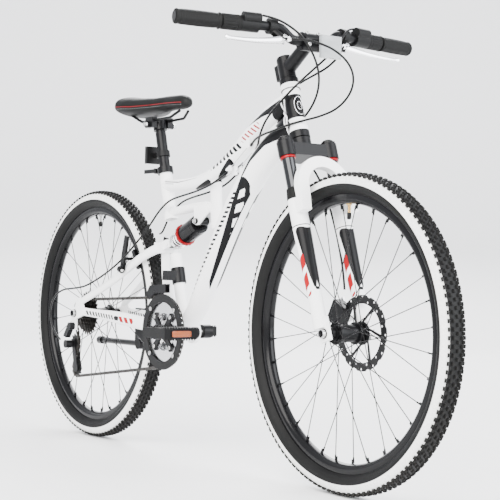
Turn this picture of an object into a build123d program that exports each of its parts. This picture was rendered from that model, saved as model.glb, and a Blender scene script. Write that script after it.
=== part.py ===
from build123d import *
from math import asin, atan2, cos, degrees, pi, radians, sin, sqrt
import os

# A full-suspension mountain bike with 26-inch wheels. Millimetres, +X forward, +Y to the
# rider's left, +Z up. The origin is on the ground, midway between the two wheel centres.

# ---- driving dimensions ----
WHEELBASE = 1080.0
WHEEL_R = 335.0
REAR_X = -WHEELBASE / 2
FRONT_X = WHEELBASE / 2

STEER_ANGLE = 70.5          # steering axis above the horizontal
FORK_RAKE = 25.0            # hub centre in front of the steering axis
LEG_OFFSET = 8.0            # hub centre in front of the fork legs
LEG_Y = 58.0                # fork leg from the middle plane
STANCHION_R = 14.0
SLIDE_FIT = 0.05            # radial clearance of every running fit
CROWN_S = 396.0             # crown's lower face above the hub, along the steering axis
CROWN_H = 34.0
LOWERS_TOP_S = 297.0
SEAL_H = 23.0
HEAD_LOW_S = 463.0
HEAD_TOP_S = 579.0
STEERER_R = 14.3
STEM_LOW_S = 593.0
STEM_H = 48.0
BAR_P = 70.3                # handlebar centre in front of the hub, across the steering axis
BAR_S = 636.0

BB_X = -104.0
BB_Z = 306.0
BB_SHELL_R = 24.0
PIVOT_R = 20.0              # journals on the bottom bracket shell that carry the swingarm
SHELL_HALF = 36.0
SEAT_ANGLE = 74.5
SEAT_TOP_X = -203.0
SEAT_TOP_Z = 712.0
SEAT_TUBE_R = 15.9
SEATPOST_R = 13.6

SHOCK_FRONT = (-22.0, 577.0)
SHOCK_REAR = (-154.0, 522.0)

CRANK_LENGTH = 170.0
CRANK_RISE = 2.4            # right crank's angle above the horizontal
CHAIN_PITCH = 12.7
CHAIN_Y = -53.0
RING_TEETH = (42, 34, 24)
RING_GAP = 5.0
COG_TEETH = (14, 16, 18, 20, 22, 24, 28)
COG_GAP = 5.0
DRIVEN_COG = 2
PULLEY_TEETH = 11
GUIDE_PULLEY = (-572.0, 253.0)
TENSION_PULLEY = (-556.0, 186.0)

SPOKES = 32
RIM_OUT_R = 287.0
RIM_IN_R = 268.0
TYRE_HALF_W = 26.0
ROTOR_R = 80.0
ROTOR_Y = 40.0
CALIPER_LEAN = 132.5        # caliper's angle round the hub from the fork's forward axis

BAR_R = 11.1
BAR_CLAMP_R = 12.7
BAR_HALF = 319.0
GRIP_R = 16.0
GRIP_IN_Y = 216.0
TWIST_IN_Y = 173.0
POD_IN_Y = 130.0


def pitch_radius(teeth):
    return CHAIN_PITCH / (2 * sin(pi / teeth))


def save(node, solids):
    """Write one node; a list of solids becomes a group of separate pieces."""
    shape = solids
    if isinstance(solids, list):
        shape = Compound(children=[s if isinstance(s, Solid) else s.solid() for s in solids])
    shape.label = node
    export_step(shape, "parts/" + node + ".step")


# ---- frames of reference and plain shapes ----
STEER_UP = Vector(-cos(radians(STEER_ANGLE)), 0, sin(radians(STEER_ANGLE)))
STEER_FWD = Vector(sin(radians(STEER_ANGLE)), 0, cos(radians(STEER_ANGLE)))
FORK_PLANE = Plane(origin=(FRONT_X, 0, WHEEL_R), x_dir=STEER_FWD, z_dir=STEER_UP)


def in_fork(shape):
    """Place a shape drawn as (forward of hub, left, up the steering axis)."""
    return FORK_PLANE.location * shape


def fork_point(p, y, s):
    return Vector(FRONT_X, 0, WHEEL_R) + STEER_FWD * p + Vector(0, y, 0) + STEER_UP * s


def rod(a, b, radius):
    """A round rod between two points."""
    a = Vector(a)
    b = Vector(b)
    plane = Plane(origin=a, z_dir=b - a)
    return Solid.make_cylinder(radius, (b - a).length, plane)


def cone(a, b, radius_a, radius_b):
    a = Vector(a)
    b = Vector(b)
    plane = Plane(origin=a, z_dir=b - a)
    return Solid.make_cone(radius_a, radius_b, (b - a).length, plane)


def disc(x, z, y0, y1, radius):
    """A round disc on an axle along Y."""
    return rod((x, min(y0, y1), z), (x, max(y0, y1), z), radius)


def ring(x, z, y0, y1, outer, inner):
    return disc(x, z, y0, y1, outer) - disc(x, z, min(y0, y1) - 1, max(y0, y1) + 1, inner)


def block(x0, x1, y0, y1, z0, z1):
    corner = Location((min(x0, x1), min(y0, y1), min(z0, z1)))
    return corner * Box(abs(x1 - x0), abs(y1 - y0), abs(z1 - z0), align=(Align.MIN, Align.MIN, Align.MIN))


def plate_xz(points, y0, y1):
    """A flat plate with a straight-sided outline in the XZ plane."""
    wire = Wire.make_polygon([(x, min(y0, y1), z) for x, z in points], close=True)
    return extrude(Face(wire), abs(y1 - y0), dir=(0, 1, 0))


def shaped_tube(stations):
    """A drawn tube through stations of (x, z, width across, depth), with oval sections."""
    sections = []
    last = len(stations) - 1
    for i, (x, z, width, depth) in enumerate(stations):
        before = stations[max(i - 1, 0)]
        after = stations[min(i + 1, last)]
        along = Vector(after[0] - before[0], 0, after[1] - before[1])
        plane = Plane(origin=(x, 0, z), x_dir=(0, 1, 0), z_dir=along)
        sections.append(plane * Ellipse(width / 2, depth / 2))
    return loft(sections)


def stay(stations):
    """A round or oval stay through stations of (x, y, z, width across, depth)."""
    sections = []
    last = len(stations) - 1
    for i, (x, y, z, width, depth) in enumerate(stations):
        before = stations[max(i - 1, 0)]
        after = stations[min(i + 1, last)]
        along = Vector(*after[:3]) - Vector(*before[:3])
        side = Vector(0, 1, 0) - along * (along.Y / along.dot(along))
        plane = Plane(origin=(x, y, z), x_dir=side, z_dir=along)
        sections.append(plane * Ellipse(width / 2, depth / 2))
    return loft(sections)


def corner_radii(points, share=0.45):
    """The largest arc that each corner's two runs allow."""
    radii = []
    for a, b, c in zip(points, points[1:], points[2:]):
        first = Vector(b) - Vector(a)
        second = Vector(c) - Vector(b)
        half_turn = radians(first.get_angle(second)) / 2
        radii.append(share * min(first.length, second.length) / max(0.02, abs(sin(half_turn) / cos(half_turn))))
    return radii


def cable(points, radius, name=""):
    """A housing along straight runs joined by tangent arcs."""
    radii = corner_radii(points)
    path = FilletPolyline(*points, radius=radii)
    start = Vector(points[0])
    along = Vector(points[1]) - start
    section = Plane(origin=start, z_dir=along) * Circle(radius)
    tube = sweep(section, path=path, transition=Transition.ROUND)
    drift = tube.volume / (pi * radius * radius * path.length)
    print(name, "radii", [round(r) for r in radii], "volume share", round(drift, 4))
    return tube


def toothed(x, z, y, teeth, thickness, inner):
    """A sprocket with plain pointed teeth for a 12.7 mm chain."""
    pitch = pitch_radius(teeth)
    points = []
    for i in range(teeth):
        for turn, radius in ((-0.36, pitch - 4.2), (-0.12, pitch + 2.4), (0.12, pitch + 2.4), (0.36, pitch - 4.2)):
            angle = 2 * pi * (i + turn) / teeth
            points.append((x + radius * cos(angle), z + radius * sin(angle)))
    body = plate_xz(points, y - thickness / 2, y + thickness / 2)
    return body - disc(x, z, y - thickness, y + thickness, inner)


# ---- wheels ----
def tyre_and_tube(x):
    """A tyre casing open towards the rim, and the tube with its valve inside it."""
    bead = 10.2
    with BuildPart() as casing:
        with BuildSketch(Plane(origin=(x, 0, WHEEL_R), x_dir=(0, 1, 0), z_dir=(1, 0, 0))):
            with BuildLine():
                Polyline((bead - 2, 280), (bead, 280), (bead, 288))
                ThreePointArc((bead, 288), (TYRE_HALF_W, 307), (19, 330))
                ThreePointArc((19, 330), (0, WHEEL_R), (-19, 330))
                ThreePointArc((-19, 330), (-TYRE_HALF_W, 307), (-bead, 288))
                Polyline((-bead, 288), (-bead, 280), (-bead + 2, 280), (-bead + 2, 289))
                ThreePointArc((-bead + 2, 289), (-23, 307), (-17, 325))
                ThreePointArc((-17, 325), (0, 329), (17, 325))
                ThreePointArc((17, 325), (23, 307), (bead - 2, 289))
                Line((bead - 2, 289), (bead - 2, 280))
            make_face()
        revolve(axis=Axis((x, 0, WHEEL_R), (0, 1, 0)))
    tube_plane = Plane(origin=(x, 0, WHEEL_R), z_dir=(0, 1, 0))
    tube = Solid.make_torus(306.5, 15.5, tube_plane)
    valve = rod((x, 0, WHEEL_R + 292), (x, 0, WHEEL_R + 236), 4.0)
    return [casing.part, tube + valve]


def rim(x):
    """A deep aluminium rim with a tyre well and a hole for the valve."""
    with BuildPart() as hoop:
        with BuildSketch(Plane(origin=(x, 0, WHEEL_R), x_dir=(0, 1, 0), z_dir=(1, 0, 0))):
            with BuildLine():
                Polyline(
                    (13.5, RIM_OUT_R), (14.2, 276), (8, RIM_IN_R), (-8, RIM_IN_R), (-14.2, 276),
                    (-13.5, RIM_OUT_R), (-11, RIM_OUT_R), (-11, 279), (-6.5, 276), (6.5, 276),
                    (11, 279), (11, RIM_OUT_R), (13.5, RIM_OUT_R),
                )
            make_face()
        revolve(axis=Axis((x, 0, WHEEL_R), (0, 1, 0)))
    valve_hole = rod((x, 0, WHEEL_R + 260), (x, 0, WHEEL_R + 280), 4.4)
    return hoop.part - valve_hole


def spokes(x, flange_y):
    """Crossed spokes, half to each flange, each with its elbow and nipple."""
    hub_r = 20.0
    pieces = []
    for i in range(SPOKES):
        side = 0 if i % 2 else 1
        y_flange = flange_y[side]
        sign = 1 if y_flange > 0 else -1
        lean = 1 if (i // 2) % 2 else -1
        rim_angle = 2 * pi * (i + 0.5) / SPOKES
        hub_angle = rim_angle + lean * radians(66)
        y_out = y_flange + sign * 3.6
        start = Vector(x + hub_r * sin(hub_angle), y_out, WHEEL_R + hub_r * cos(hub_angle))
        end = Vector(x + RIM_IN_R * sin(rim_angle), sign * 3.0, WHEEL_R + RIM_IN_R * cos(rim_angle))
        end = end - (end - start).normalized() * 1.2
        neck = end - (end - start).normalized() * 12
        elbow = rod(start, (start.X, y_flange + sign * 1.05, start.Z), 1.0)
        pieces.append(rod(start, end, 1.0) + rod(neck, end, 1.8) + elbow)
    return pieces


def front_hub():
    shell = disc(FRONT_X, WHEEL_R, -46, 47, 12) + disc(FRONT_X, WHEEL_R, -30, 22, 18.5)
    shell = shell + disc(FRONT_X, WHEEL_R, 36, 38.9, 22)
    shell = shell + disc(FRONT_X, WHEEL_R, 20, 23, 23.5) + disc(FRONT_X, WHEEL_R, -31, -28, 23.5)
    shell = shell + disc(FRONT_X, WHEEL_R, 12, 38, 16) + disc(FRONT_X, WHEEL_R, -36, -20, 16)
    return shell - disc(FRONT_X, WHEEL_R, -60, 60, 4.5 + SLIDE_FIT)


def rear_hub():
    shell = disc(REAR_X, WHEEL_R, -29, 60, 14)
    shell = shell + disc(REAR_X, WHEEL_R, 32, 35, 23.5) + disc(REAR_X, WHEEL_R, -26, -23, 23.5)
    shell = shell + disc(REAR_X, WHEEL_R, 22, 40, 18) + disc(REAR_X, WHEEL_R, -29, -14, 18)
    return shell - disc(REAR_X, WHEEL_R, -70, 70, 5.0 + SLIDE_FIT)


def brake_rotor():
    """A steel disc with a wavy edge, a ring of holes and bent arms."""
    arms = 6
    plate = disc(FRONT_X, WHEEL_R, ROTOR_Y - 0.9, ROTOR_Y + 0.9, ROTOR_R)
    plate = plate - disc(FRONT_X, WHEEL_R, ROTOR_Y - 2, ROTOR_Y + 2, 62)
    cuts = []
    for i in range(24):
        angle = 2 * pi * i / 24
        reach = 66.5 if i % 2 else 75.5
        cx = FRONT_X + reach * sin(angle)
        cz = WHEEL_R + reach * cos(angle)
        cuts.append(disc(cx, cz, ROTOR_Y - 2, ROTOR_Y + 2, 2.6))
    for i in range(12):
        angle = 2 * pi * (i + 0.5) / 12
        cx = FRONT_X + 88 * sin(angle)
        cz = WHEEL_R + 88 * cos(angle)
        cuts.append(disc(cx, cz, ROTOR_Y - 2, ROTOR_Y + 2, 11))
    plate = plate - cuts
    centre = ring(FRONT_X, WHEEL_R, ROTOR_Y - 0.9, ROTOR_Y + 0.9, 25, 17)
    plate = plate + centre
    for i in range(arms):
        inner = 2 * pi * i / arms
        outer = inner + radians(34)
        spread_in = radians(8)
        spread_out = radians(3.2)
        corners = []
        for angle, radius in (
            (inner - spread_in, 22), (outer - spread_out, 64),
            (outer + spread_out, 64), (inner + spread_in, 22),
        ):
            corners.append((FRONT_X + radius * sin(angle), WHEEL_R + radius * cos(angle)))
        plate = plate + plate_xz(corners, ROTOR_Y - 0.9, ROTOR_Y + 0.9)
    return plate


def make_wheels():
    save("front_tyre", tyre_and_tube(FRONT_X))
    save("rear_tyre", tyre_and_tube(REAR_X))
    save("front_rim", rim(FRONT_X))
    save("rear_rim", rim(REAR_X))
    save("front_spokes", spokes(FRONT_X, (23.0, -31.0)))
    save("rear_spokes", spokes(REAR_X, (35.0, -26.0)))
    save("front_hub", front_hub())
    save("rear_hub", rear_hub())
    save("brake_rotor", brake_rotor())


# ---- main frame ----
def seat_axis(z):
    """X of the seat tube's axis at a height."""
    return SEAT_TOP_X + (SEAT_TOP_Z - z) * cos(radians(SEAT_ANGLE)) / sin(radians(SEAT_ANGLE))


def seat_point(z, y=0):
    return (seat_axis(z), y, z)


def main_frame():
    """The welded white frame: head tube, top, down and seat tubes, braces and shell."""
    steer_p = -FORK_RAKE
    head = in_fork(Location((steer_p, 0, HEAD_LOW_S)) * Cylinder(
        19.5, HEAD_TOP_S - HEAD_LOW_S, align=(Align.CENTER, Align.CENTER, Align.MIN)))
    for s in (HEAD_LOW_S, HEAD_TOP_S - 14):
        collar = Location((steer_p, 0, s)) * Cylinder(21.5, 14, align=(Align.CENTER, Align.CENTER, Align.MIN))
        head = head + in_fork(collar)
    down = shaped_tube([
        (346, 798, 38, 46), (262, 735, 52, 64), (176, 662, 60, 66), (100, 571, 60, 64),
        (38, 478, 58, 60), (-22, 386, 52, 52), (BB_X + 8, BB_Z + 12, 48, 42),
    ])
    top = shaped_tube([
        (335, 838, 36, 46), (262, 812, 38, 46), (180, 768, 38, 46), (96, 716, 38, 44),
        (20, 684, 36, 38), (-80, 668, 34, 32), (SEAT_TOP_X + 10, 671, 30, 28),
    ])
    seat = rod(seat_point(SEAT_TOP_Z), seat_point(588), SEAT_TUBE_R)
    seat = seat + rod(seat_point(600), seat_point(584), SEAT_TUBE_R + 1.6)
    stub = rod(seat_point(497), seat_point(BB_Z + 14), 14.3)
    post = shaped_tube([(34, 690, 24, 34), (36, 630, 24, 36), (44, 560, 26, 40)])
    brace = shaped_tube([(seat_axis(604), 604, 22, 22), (-70, 610, 28, 22), (-20, 612, 36, 24), (34, 606, 30, 30)])
    shell = disc(BB_X, BB_Z, -SHELL_HALF + 12, SHELL_HALF - 12, BB_SHELL_R)
    shell = shell + disc(BB_X, BB_Z, -SHELL_HALF, SHELL_HALF, PIVOT_R)
    frame = down + top + post + brace + head + seat + stub + shell
    x, z = SHOCK_FRONT
    for y in (13.0, -18.0):
        ear = plate_xz([(x - 11, z + 4), (x - 6, z - 9), (x + 6, z - 9), (x + 46, z + 18),
                        (x + 40, z + 42), (x - 14, z + 36)], y, y + 5)
        frame = frame + ear
    frame = frame - block(x - 15, x + 15, -13, 13, z - 14, z + 24)
    gusset = plate_xz([(300, 800), (330, 768), (236, 716), (206, 752)], -6, 6)
    frame = frame + gusset
    for stop_x, stop_z in ((190.5, 741), (110.5, 692)):
        for y, drop in ((-15, 0), (15, 0), (0, 9)):
            frame = frame + block(stop_x - 7.5, stop_x + 7.5, y - 4, y + 4, stop_z - drop, stop_z + 24)
    frame = frame - in_fork(Location((steer_p, 0, HEAD_LOW_S - 5)) * Cylinder(
        16.5, HEAD_TOP_S - HEAD_LOW_S + 10, align=(Align.CENTER, Align.CENTER, Align.MIN)))
    frame = frame - disc(BB_X, BB_Z, -40, 40, 17)
    frame = frame - rod(seat_point(SEAT_TOP_Z + 4), seat_point(560), SEATPOST_R + SLIDE_FIT)
    frame = frame - rod(seat_point(510), seat_point(360), 12.3)
    frame = frame - disc(x, z, -30, 30, 4.0)
    return frame


def bearing_cups():
    """Both headset cups and both bottom bracket cups."""
    pieces = []
    for low, height, radius in ((HEAD_LOW_S - 14, 14, 22.5), (HEAD_TOP_S, 11, 21.5)):
        cup = Location((-FORK_RAKE, 0, low)) * Cylinder(
            radius, height, align=(Align.CENTER, Align.CENTER, Align.MIN))
        bore = Location((-FORK_RAKE, 0, low - 1)) * Cylinder(
            STEERER_R + 0.5, height + 2, align=(Align.CENTER, Align.CENTER, Align.MIN))
        pieces.append(in_fork(cup - bore))
    for side in (1, -1):
        flange = disc(BB_X, BB_Z, side * SHELL_HALF, side * (SHELL_HALF + 3), 22)
        barrel = disc(BB_X, BB_Z, side * 16, side * SHELL_HALF, 17)
        bore = disc(BB_X, BB_Z, side * 10, side * (SHELL_HALF + 6), 8.5 + SLIDE_FIT)
        pieces.append(flange + barrel - bore)
    return pieces


def frame_clamps():
    """The seat clamp's collar, the front derailleur's band and body, and the shock's upper bolt."""
    low = seat_point(SEAT_TOP_Z - 12)
    high = seat_point(SEAT_TOP_Z + 4)
    collar = rod(low, high, SEAT_TUBE_R + 4)
    x = seat_axis(SEAT_TOP_Z)
    collar = collar + block(x - 34, x - 10, -9, 9, SEAT_TOP_Z - 11, SEAT_TOP_Z + 3)
    collar = collar - rod(seat_point(SEAT_TOP_Z - 30), seat_point(SEAT_TOP_Z), SEAT_TUBE_R)
    collar = collar - rod(seat_point(SEAT_TOP_Z - 30), seat_point(SEAT_TOP_Z + 30), SEATPOST_R + 0.4)
    collar = collar - block(x - 40, x - 8, -1.2, 1.2, SEAT_TOP_Z - 20, SEAT_TOP_Z + 20)
    band = rod(seat_point(424), seat_point(462), 17.5)
    body_x = seat_axis(445)
    band = band + block(body_x - 14, body_x + 12, -38, -10, 432, 456)
    band = band - rod(seat_point(400), seat_point(480), 14.3)
    bolt_x, bolt_z = SHOCK_FRONT
    bolt = disc(bolt_x, bolt_z, -18, 18, 4.0)
    bolt = bolt + disc(bolt_x, bolt_z, 18, 23, 7) + disc(bolt_x, bolt_z, -23, -18, 7)
    return [collar, band, bolt]


def make_frame():
    save("main_frame", main_frame())
    save("bearing_cups", bearing_cups())
    save("frame_clamps", frame_clamps())
    lever_x = seat_axis(SEAT_TOP_Z) - 27
    lever_z = SEAT_TOP_Z - 4
    lever = disc(lever_x, lever_z, -15.5, -9.3, 7)
    lever = lever + block(lever_x - 52, lever_x, -15.5, -9.8, lever_z - 5, lever_z + 5)
    save("seat_clamp_lever", lever)
    cage_x = seat_axis(BB_Z + 128) - 16
    outer = []
    for y in (CHAIN_Y - 6.5, CHAIN_Y + 5.0):
        outer.append((y, y + 1.5))
    low = [(BB_X - 40, BB_Z + 93), (BB_X - 66, BB_Z + 76), (BB_X - 80, BB_Z + 92),
           (BB_X - 64, BB_Z + 112), (BB_X + 12, BB_Z + 118), (BB_X + 12, BB_Z + 96)]
    cage = plate_xz(low, *outer[0]) + plate_xz(low, *outer[1])
    cage = cage + block(cage_x - 20, cage_x + 16, CHAIN_Y - 6, CHAIN_Y + 12.5, BB_Z + 111, BB_Z + 114)
    save("front_derailleur_cage", cage)


# ---- fork and steering ----
def fork_crown():
    """The forged crown with its steerer."""
    shoulders = []
    for side in (1, -1):
        shoulders.append(Location((-LEG_OFFSET, side * LEG_Y, CROWN_S)) * Cylinder(
            19, CROWN_H, align=(Align.CENTER, Align.CENTER, Align.MIN)))
    bridge = Location((-LEG_OFFSET - 8, 0, CROWN_S + 3)) * Box(
        40, 2 * LEG_Y, CROWN_H - 6, align=(Align.CENTER, Align.CENTER, Align.MIN))
    boss = Location((-FORK_RAKE, 0, CROWN_S + 3)) * Cylinder(
        22, CROWN_H + 14, align=(Align.CENTER, Align.CENTER, Align.MIN))
    steerer = Location((-FORK_RAKE, 0, CROWN_S + 3)) * Cylinder(
        STEERER_R, STEM_LOW_S + STEM_H - CROWN_S - 5, align=(Align.CENTER, Align.CENTER, Align.MIN))
    crown = bridge + shoulders + boss + steerer
    for side in (1, -1):
        crown = crown - Location((-LEG_OFFSET, side * LEG_Y, CROWN_S - 5)) * Cylinder(
            STANCHION_R, CROWN_H + 1, align=(Align.CENTER, Align.CENTER, Align.MIN))
    return in_fork(crown)


def stanchions():
    """Two polished tubes, pressed into the crown and sliding in the lowers."""
    length = CROWN_S + CROWN_H - 4 - 170
    return [in_fork(Location((-LEG_OFFSET, side * LEG_Y, 170)) * Cylinder(
        STANCHION_R, length, align=(Align.CENTER, Align.CENTER, Align.MIN))) for side in (1, -1)]


def fork_lowers():
    """The cast lowers: two legs, the arch over the tyre and the two dropouts."""
    lowers = None
    for side in (1, -1):
        y = side * LEG_Y
        leg = Location((-LEG_OFFSET, y, 236)) * Cylinder(
            19, LOWERS_TOP_S - 236, align=(Align.CENTER, Align.CENTER, Align.MIN))
        middle = Location((-LEG_OFFSET, y, 100)) * Cone(
            16, 19, 136, align=(Align.CENTER, Align.CENTER, Align.MIN))
        foot = Location((-LEG_OFFSET, y, 12)) * Cylinder(
            15.2, 90, align=(Align.CENTER, Align.CENTER, Align.MIN))
        dropout = Location((-2, side * 55.5, -16)) * Box(
            30, 9, 50, align=(Align.CENTER, Align.CENTER, Align.MIN))
        leg = leg + middle + foot + dropout
        lowers = leg if lowers is None else lowers + leg
    arch_front = -LEG_OFFSET + 38
    arch_back = -LEG_OFFSET + 22
    with BuildSketch(Plane(origin=(arch_front, 0, 0), x_dir=(0, 1, 0), z_dir=(1, 0, 0))) as outline:
        with BuildLine():
            Polyline((-52, 262), (-74, 262), (-74, 318))
            ThreePointArc((-74, 318), (0, 385), (74, 318))
            Polyline((74, 318), (74, 262), (52, 262), (46, 310))
            ThreePointArc((46, 310), (0, 361), (-46, 310))
            Line((-46, 310), (-52, 262))
        make_face()
    arch = extrude(outline.sketch, amount=-(arch_front - arch_back))
    lowers = lowers + arch
    for side in (1, -1):
        lug = Location((arch_back - 12, side * 63, 262)) * Box(
            26, 20, 33, align=(Align.CENTER, Align.CENTER, Align.MIN))
        lowers = lowers + lug
    for along in (22, -22):
        ear = radial(81, along, 55.4)
        lowers = lowers + rod((-LEG_OFFSET, 55.4, ear.Z), ear, 5)
    for side in (1, -1):
        bore = Location((-LEG_OFFSET, side * LEG_Y, 112)) * Cylinder(
            STANCHION_R + SLIDE_FIT, 300, align=(Align.CENTER, Align.CENTER, Align.MIN))
        lowers = lowers - bore
    lowers = lowers - Location((0, 0, 0)) * (Rotation(90, 0, 0) * Cylinder(4.5, 160))
    return in_fork(lowers)


def dust_seals():
    pieces = []
    for side in (1, -1):
        at = Location((-LEG_OFFSET, side * LEG_Y, LOWERS_TOP_S))
        seal = at * Cone(19.5, 17, SEAL_H, align=(Align.CENTER, Align.CENTER, Align.MIN))
        hole = Location((-LEG_OFFSET, side * LEG_Y, LOWERS_TOP_S - 1)) * Cylinder(
            STANCHION_R + SLIDE_FIT, SEAL_H + 2, align=(Align.CENTER, Align.CENTER, Align.MIN))
        pieces.append(in_fork(seal - hole))
    return pieces


def front_axle():
    axle = disc(FRONT_X, WHEEL_R, -70, 70, 4.5)
    for side in (1, -1):
        axle = axle + disc(FRONT_X, WHEEL_R, side * 60, side * 69, 9)
    return axle


def radial(distance, along, y):
    """A place on the caliper's own axes: out from the hub, then along the rotor's edge."""
    lean = radians(CALIPER_LEAN)
    return Vector(distance * cos(lean) + along * sin(lean), y, distance * sin(lean) - along * cos(lean))


def disc_caliper():
    """A cable-pulled caliper, open over the rotor's edge, on the left leg."""
    turn = Rotation(0, -CALIPER_LEAN, 0)
    body = Location((81, 37, 0)) * Box(40, 26, 48)
    body = body - Location((64, ROTOR_Y, 0)) * Box(40, 4.4, 70)
    return in_fork(turn * body)


def caliper_arm():
    hub = radial(81, 0, 0)
    arm = Location((hub.X, 52.8, hub.Z)) * (Rotation(90, 0, 0) * Cylinder(9, 4.6))
    arm = arm + Location((hub.X, 52.8, hub.Z + 18)) * Box(9, 4, 36)
    return in_fork(arm)


def make_fork():
    save("fork_crown", fork_crown())
    save("fork_stanchions", stanchions())
    save("fork_lowers", fork_lowers())
    save("fork_dust_seals", dust_seals())
    save("front_axle", front_axle())
    save("disc_caliper", disc_caliper())
    save("caliper_arm", caliper_arm())


# ---- handlebar and controls ----
BAR_MID = fork_point(BAR_P, 0, BAR_S)
BAR_RISE = Vector(389, 76, 982)
BAR_END = Vector(350, BAR_HALF, 983)
BAR_DIR = (BAR_END - BAR_RISE).normalized()


def bar_point(y):
    """A point on the swept-back part of the bar, by its distance from the middle plane."""
    side = 1 if y > 0 else -1
    step = (abs(y) - BAR_RISE.Y) / BAR_DIR.Y
    point = BAR_RISE + BAR_DIR * step
    return Vector(point.X, side * point.Y, point.Z)


def bar_dir(side):
    return Vector(BAR_DIR.X, side * BAR_DIR.Y, BAR_DIR.Z)


def handlebar():
    half = [(BAR_MID.X, 50, BAR_MID.Z), tuple(BAR_RISE), tuple(BAR_END)]
    points = [(x, -y, z) for x, y, z in reversed(half)] + half
    path = FilletPolyline(*points, radius=[26, 26, 26, 26])
    section = Plane(origin=points[0], z_dir=Vector(points[1]) - Vector(points[0])) * Circle(BAR_R)
    bar = sweep(section, path=path)
    return bar + rod((BAR_MID.X, -27, BAR_MID.Z), (BAR_MID.X, 27, BAR_MID.Z), BAR_CLAMP_R)


def along_bar(side, y0, y1, outer, inner):
    a = bar_point(side * y0)
    b = bar_point(side * y1)
    step = bar_dir(side)
    return rod(a, b, outer) - rod(a - step, b + step, inner)


def grips():
    pieces = []
    for side in (1, -1):
        grip = along_bar(side, GRIP_IN_Y, BAR_HALF, GRIP_R - 1, BAR_R)
        grip = grip + along_bar(side, GRIP_IN_Y, GRIP_IN_Y + 4, GRIP_R + 1.5, BAR_R)
        end = bar_point(side * (BAR_HALF - 5))
        grip = grip + (rod(end, end + bar_dir(side) * 8, GRIP_R + 1) - rod(
            end - bar_dir(side), end + bar_dir(side) * 5.2, BAR_R))
        pieces.append(grip)
    return pieces


def lever_frame(side):
    """The lever's pivot and the tip of its blade."""
    pivot = Vector(412, side * 84, 952)
    tip = Vector(419, side * 235, 938)
    return pivot, tip


def control_pods():
    """The shifters' indicator housings and the brake levers' perches."""
    pieces = []
    for side in (1, -1):
        pod = along_bar(side, POD_IN_Y, TWIST_IN_Y - 0.6, 17, BAR_R)
        a = bar_point(side * POD_IN_Y)
        bulge = rod(a + Vector(10, 0, 12), a + Vector(10, 0, 12) + bar_dir(side) * 40, 12)
        bulge = bulge - rod(a - bar_dir(side) * 5, a + bar_dir(side) * 60, BAR_R)
        pieces.append(pod + bulge)
        perch = along_bar(side, 88, 106, 17, BAR_R)
        pivot, tip = lever_frame(side)
        at = bar_point(side * 97)
        perch_body = rod(at + Vector(6, -side * 2, -12), pivot + Vector(0, side * 2, 0), 9)
        perch = perch + perch_body - rod(at - bar_dir(side) * 14, at + bar_dir(side) * 14, BAR_R)
        slot_at = Plane(origin=pivot, x_dir=tip - pivot, z_dir=lever_axis(side))
        perch = perch - slot_at.location * Box(44, 44, 8.6)
        perch = perch + Solid.make_cylinder(3, 20, Plane(
            origin=pivot - lever_axis(side) * 10, z_dir=lever_axis(side)))
        pieces.append(perch)
    return pieces


def lever_axis(side):
    """The brake lever's pivot axis, square to the bar and to the pull."""
    pivot, tip = lever_frame(side)
    pull = bar_point(side * 200) - Vector(pivot.X + 4, side * 200, 941)
    return (tip - pivot).cross(pull).normalized()


def brake_lever(side):
    pivot, tip = lever_frame(side)
    axis = lever_axis(side)
    plane = Plane(origin=pivot, x_dir=tip - pivot, z_dir=axis)
    reach = (tip - pivot).length
    lean = 1 if plane.to_local_coords(bar_point(side * 200)).Y < 0 else -1
    outline = [(-7, 8 * lean), (8, 9 * lean), (40, 13 * lean), (80, 9 * lean), (reach - 4, 5 * lean),
               (reach, -2 * lean), (reach - 6, -6 * lean), (80, -3 * lean), (34, -1 * lean), (-7, -8 * lean)]
    wire = Wire.make_polygon([(x, y, -3.6) for x, y in outline], close=True)
    blade = extrude(Face(wire), 7.2, dir=(0, 0, 1))
    blade = blade + Location((reach - 3, 1.5 * lean, 0)) * Sphere(7)
    blade = blade - Cylinder(3 + SLIDE_FIT, 30)
    return plane.location * blade


def twist_grip(side):
    return along_bar(side, TWIST_IN_Y, GRIP_IN_Y - 0.6, 17.2, BAR_R + SLIDE_FIT)


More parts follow.
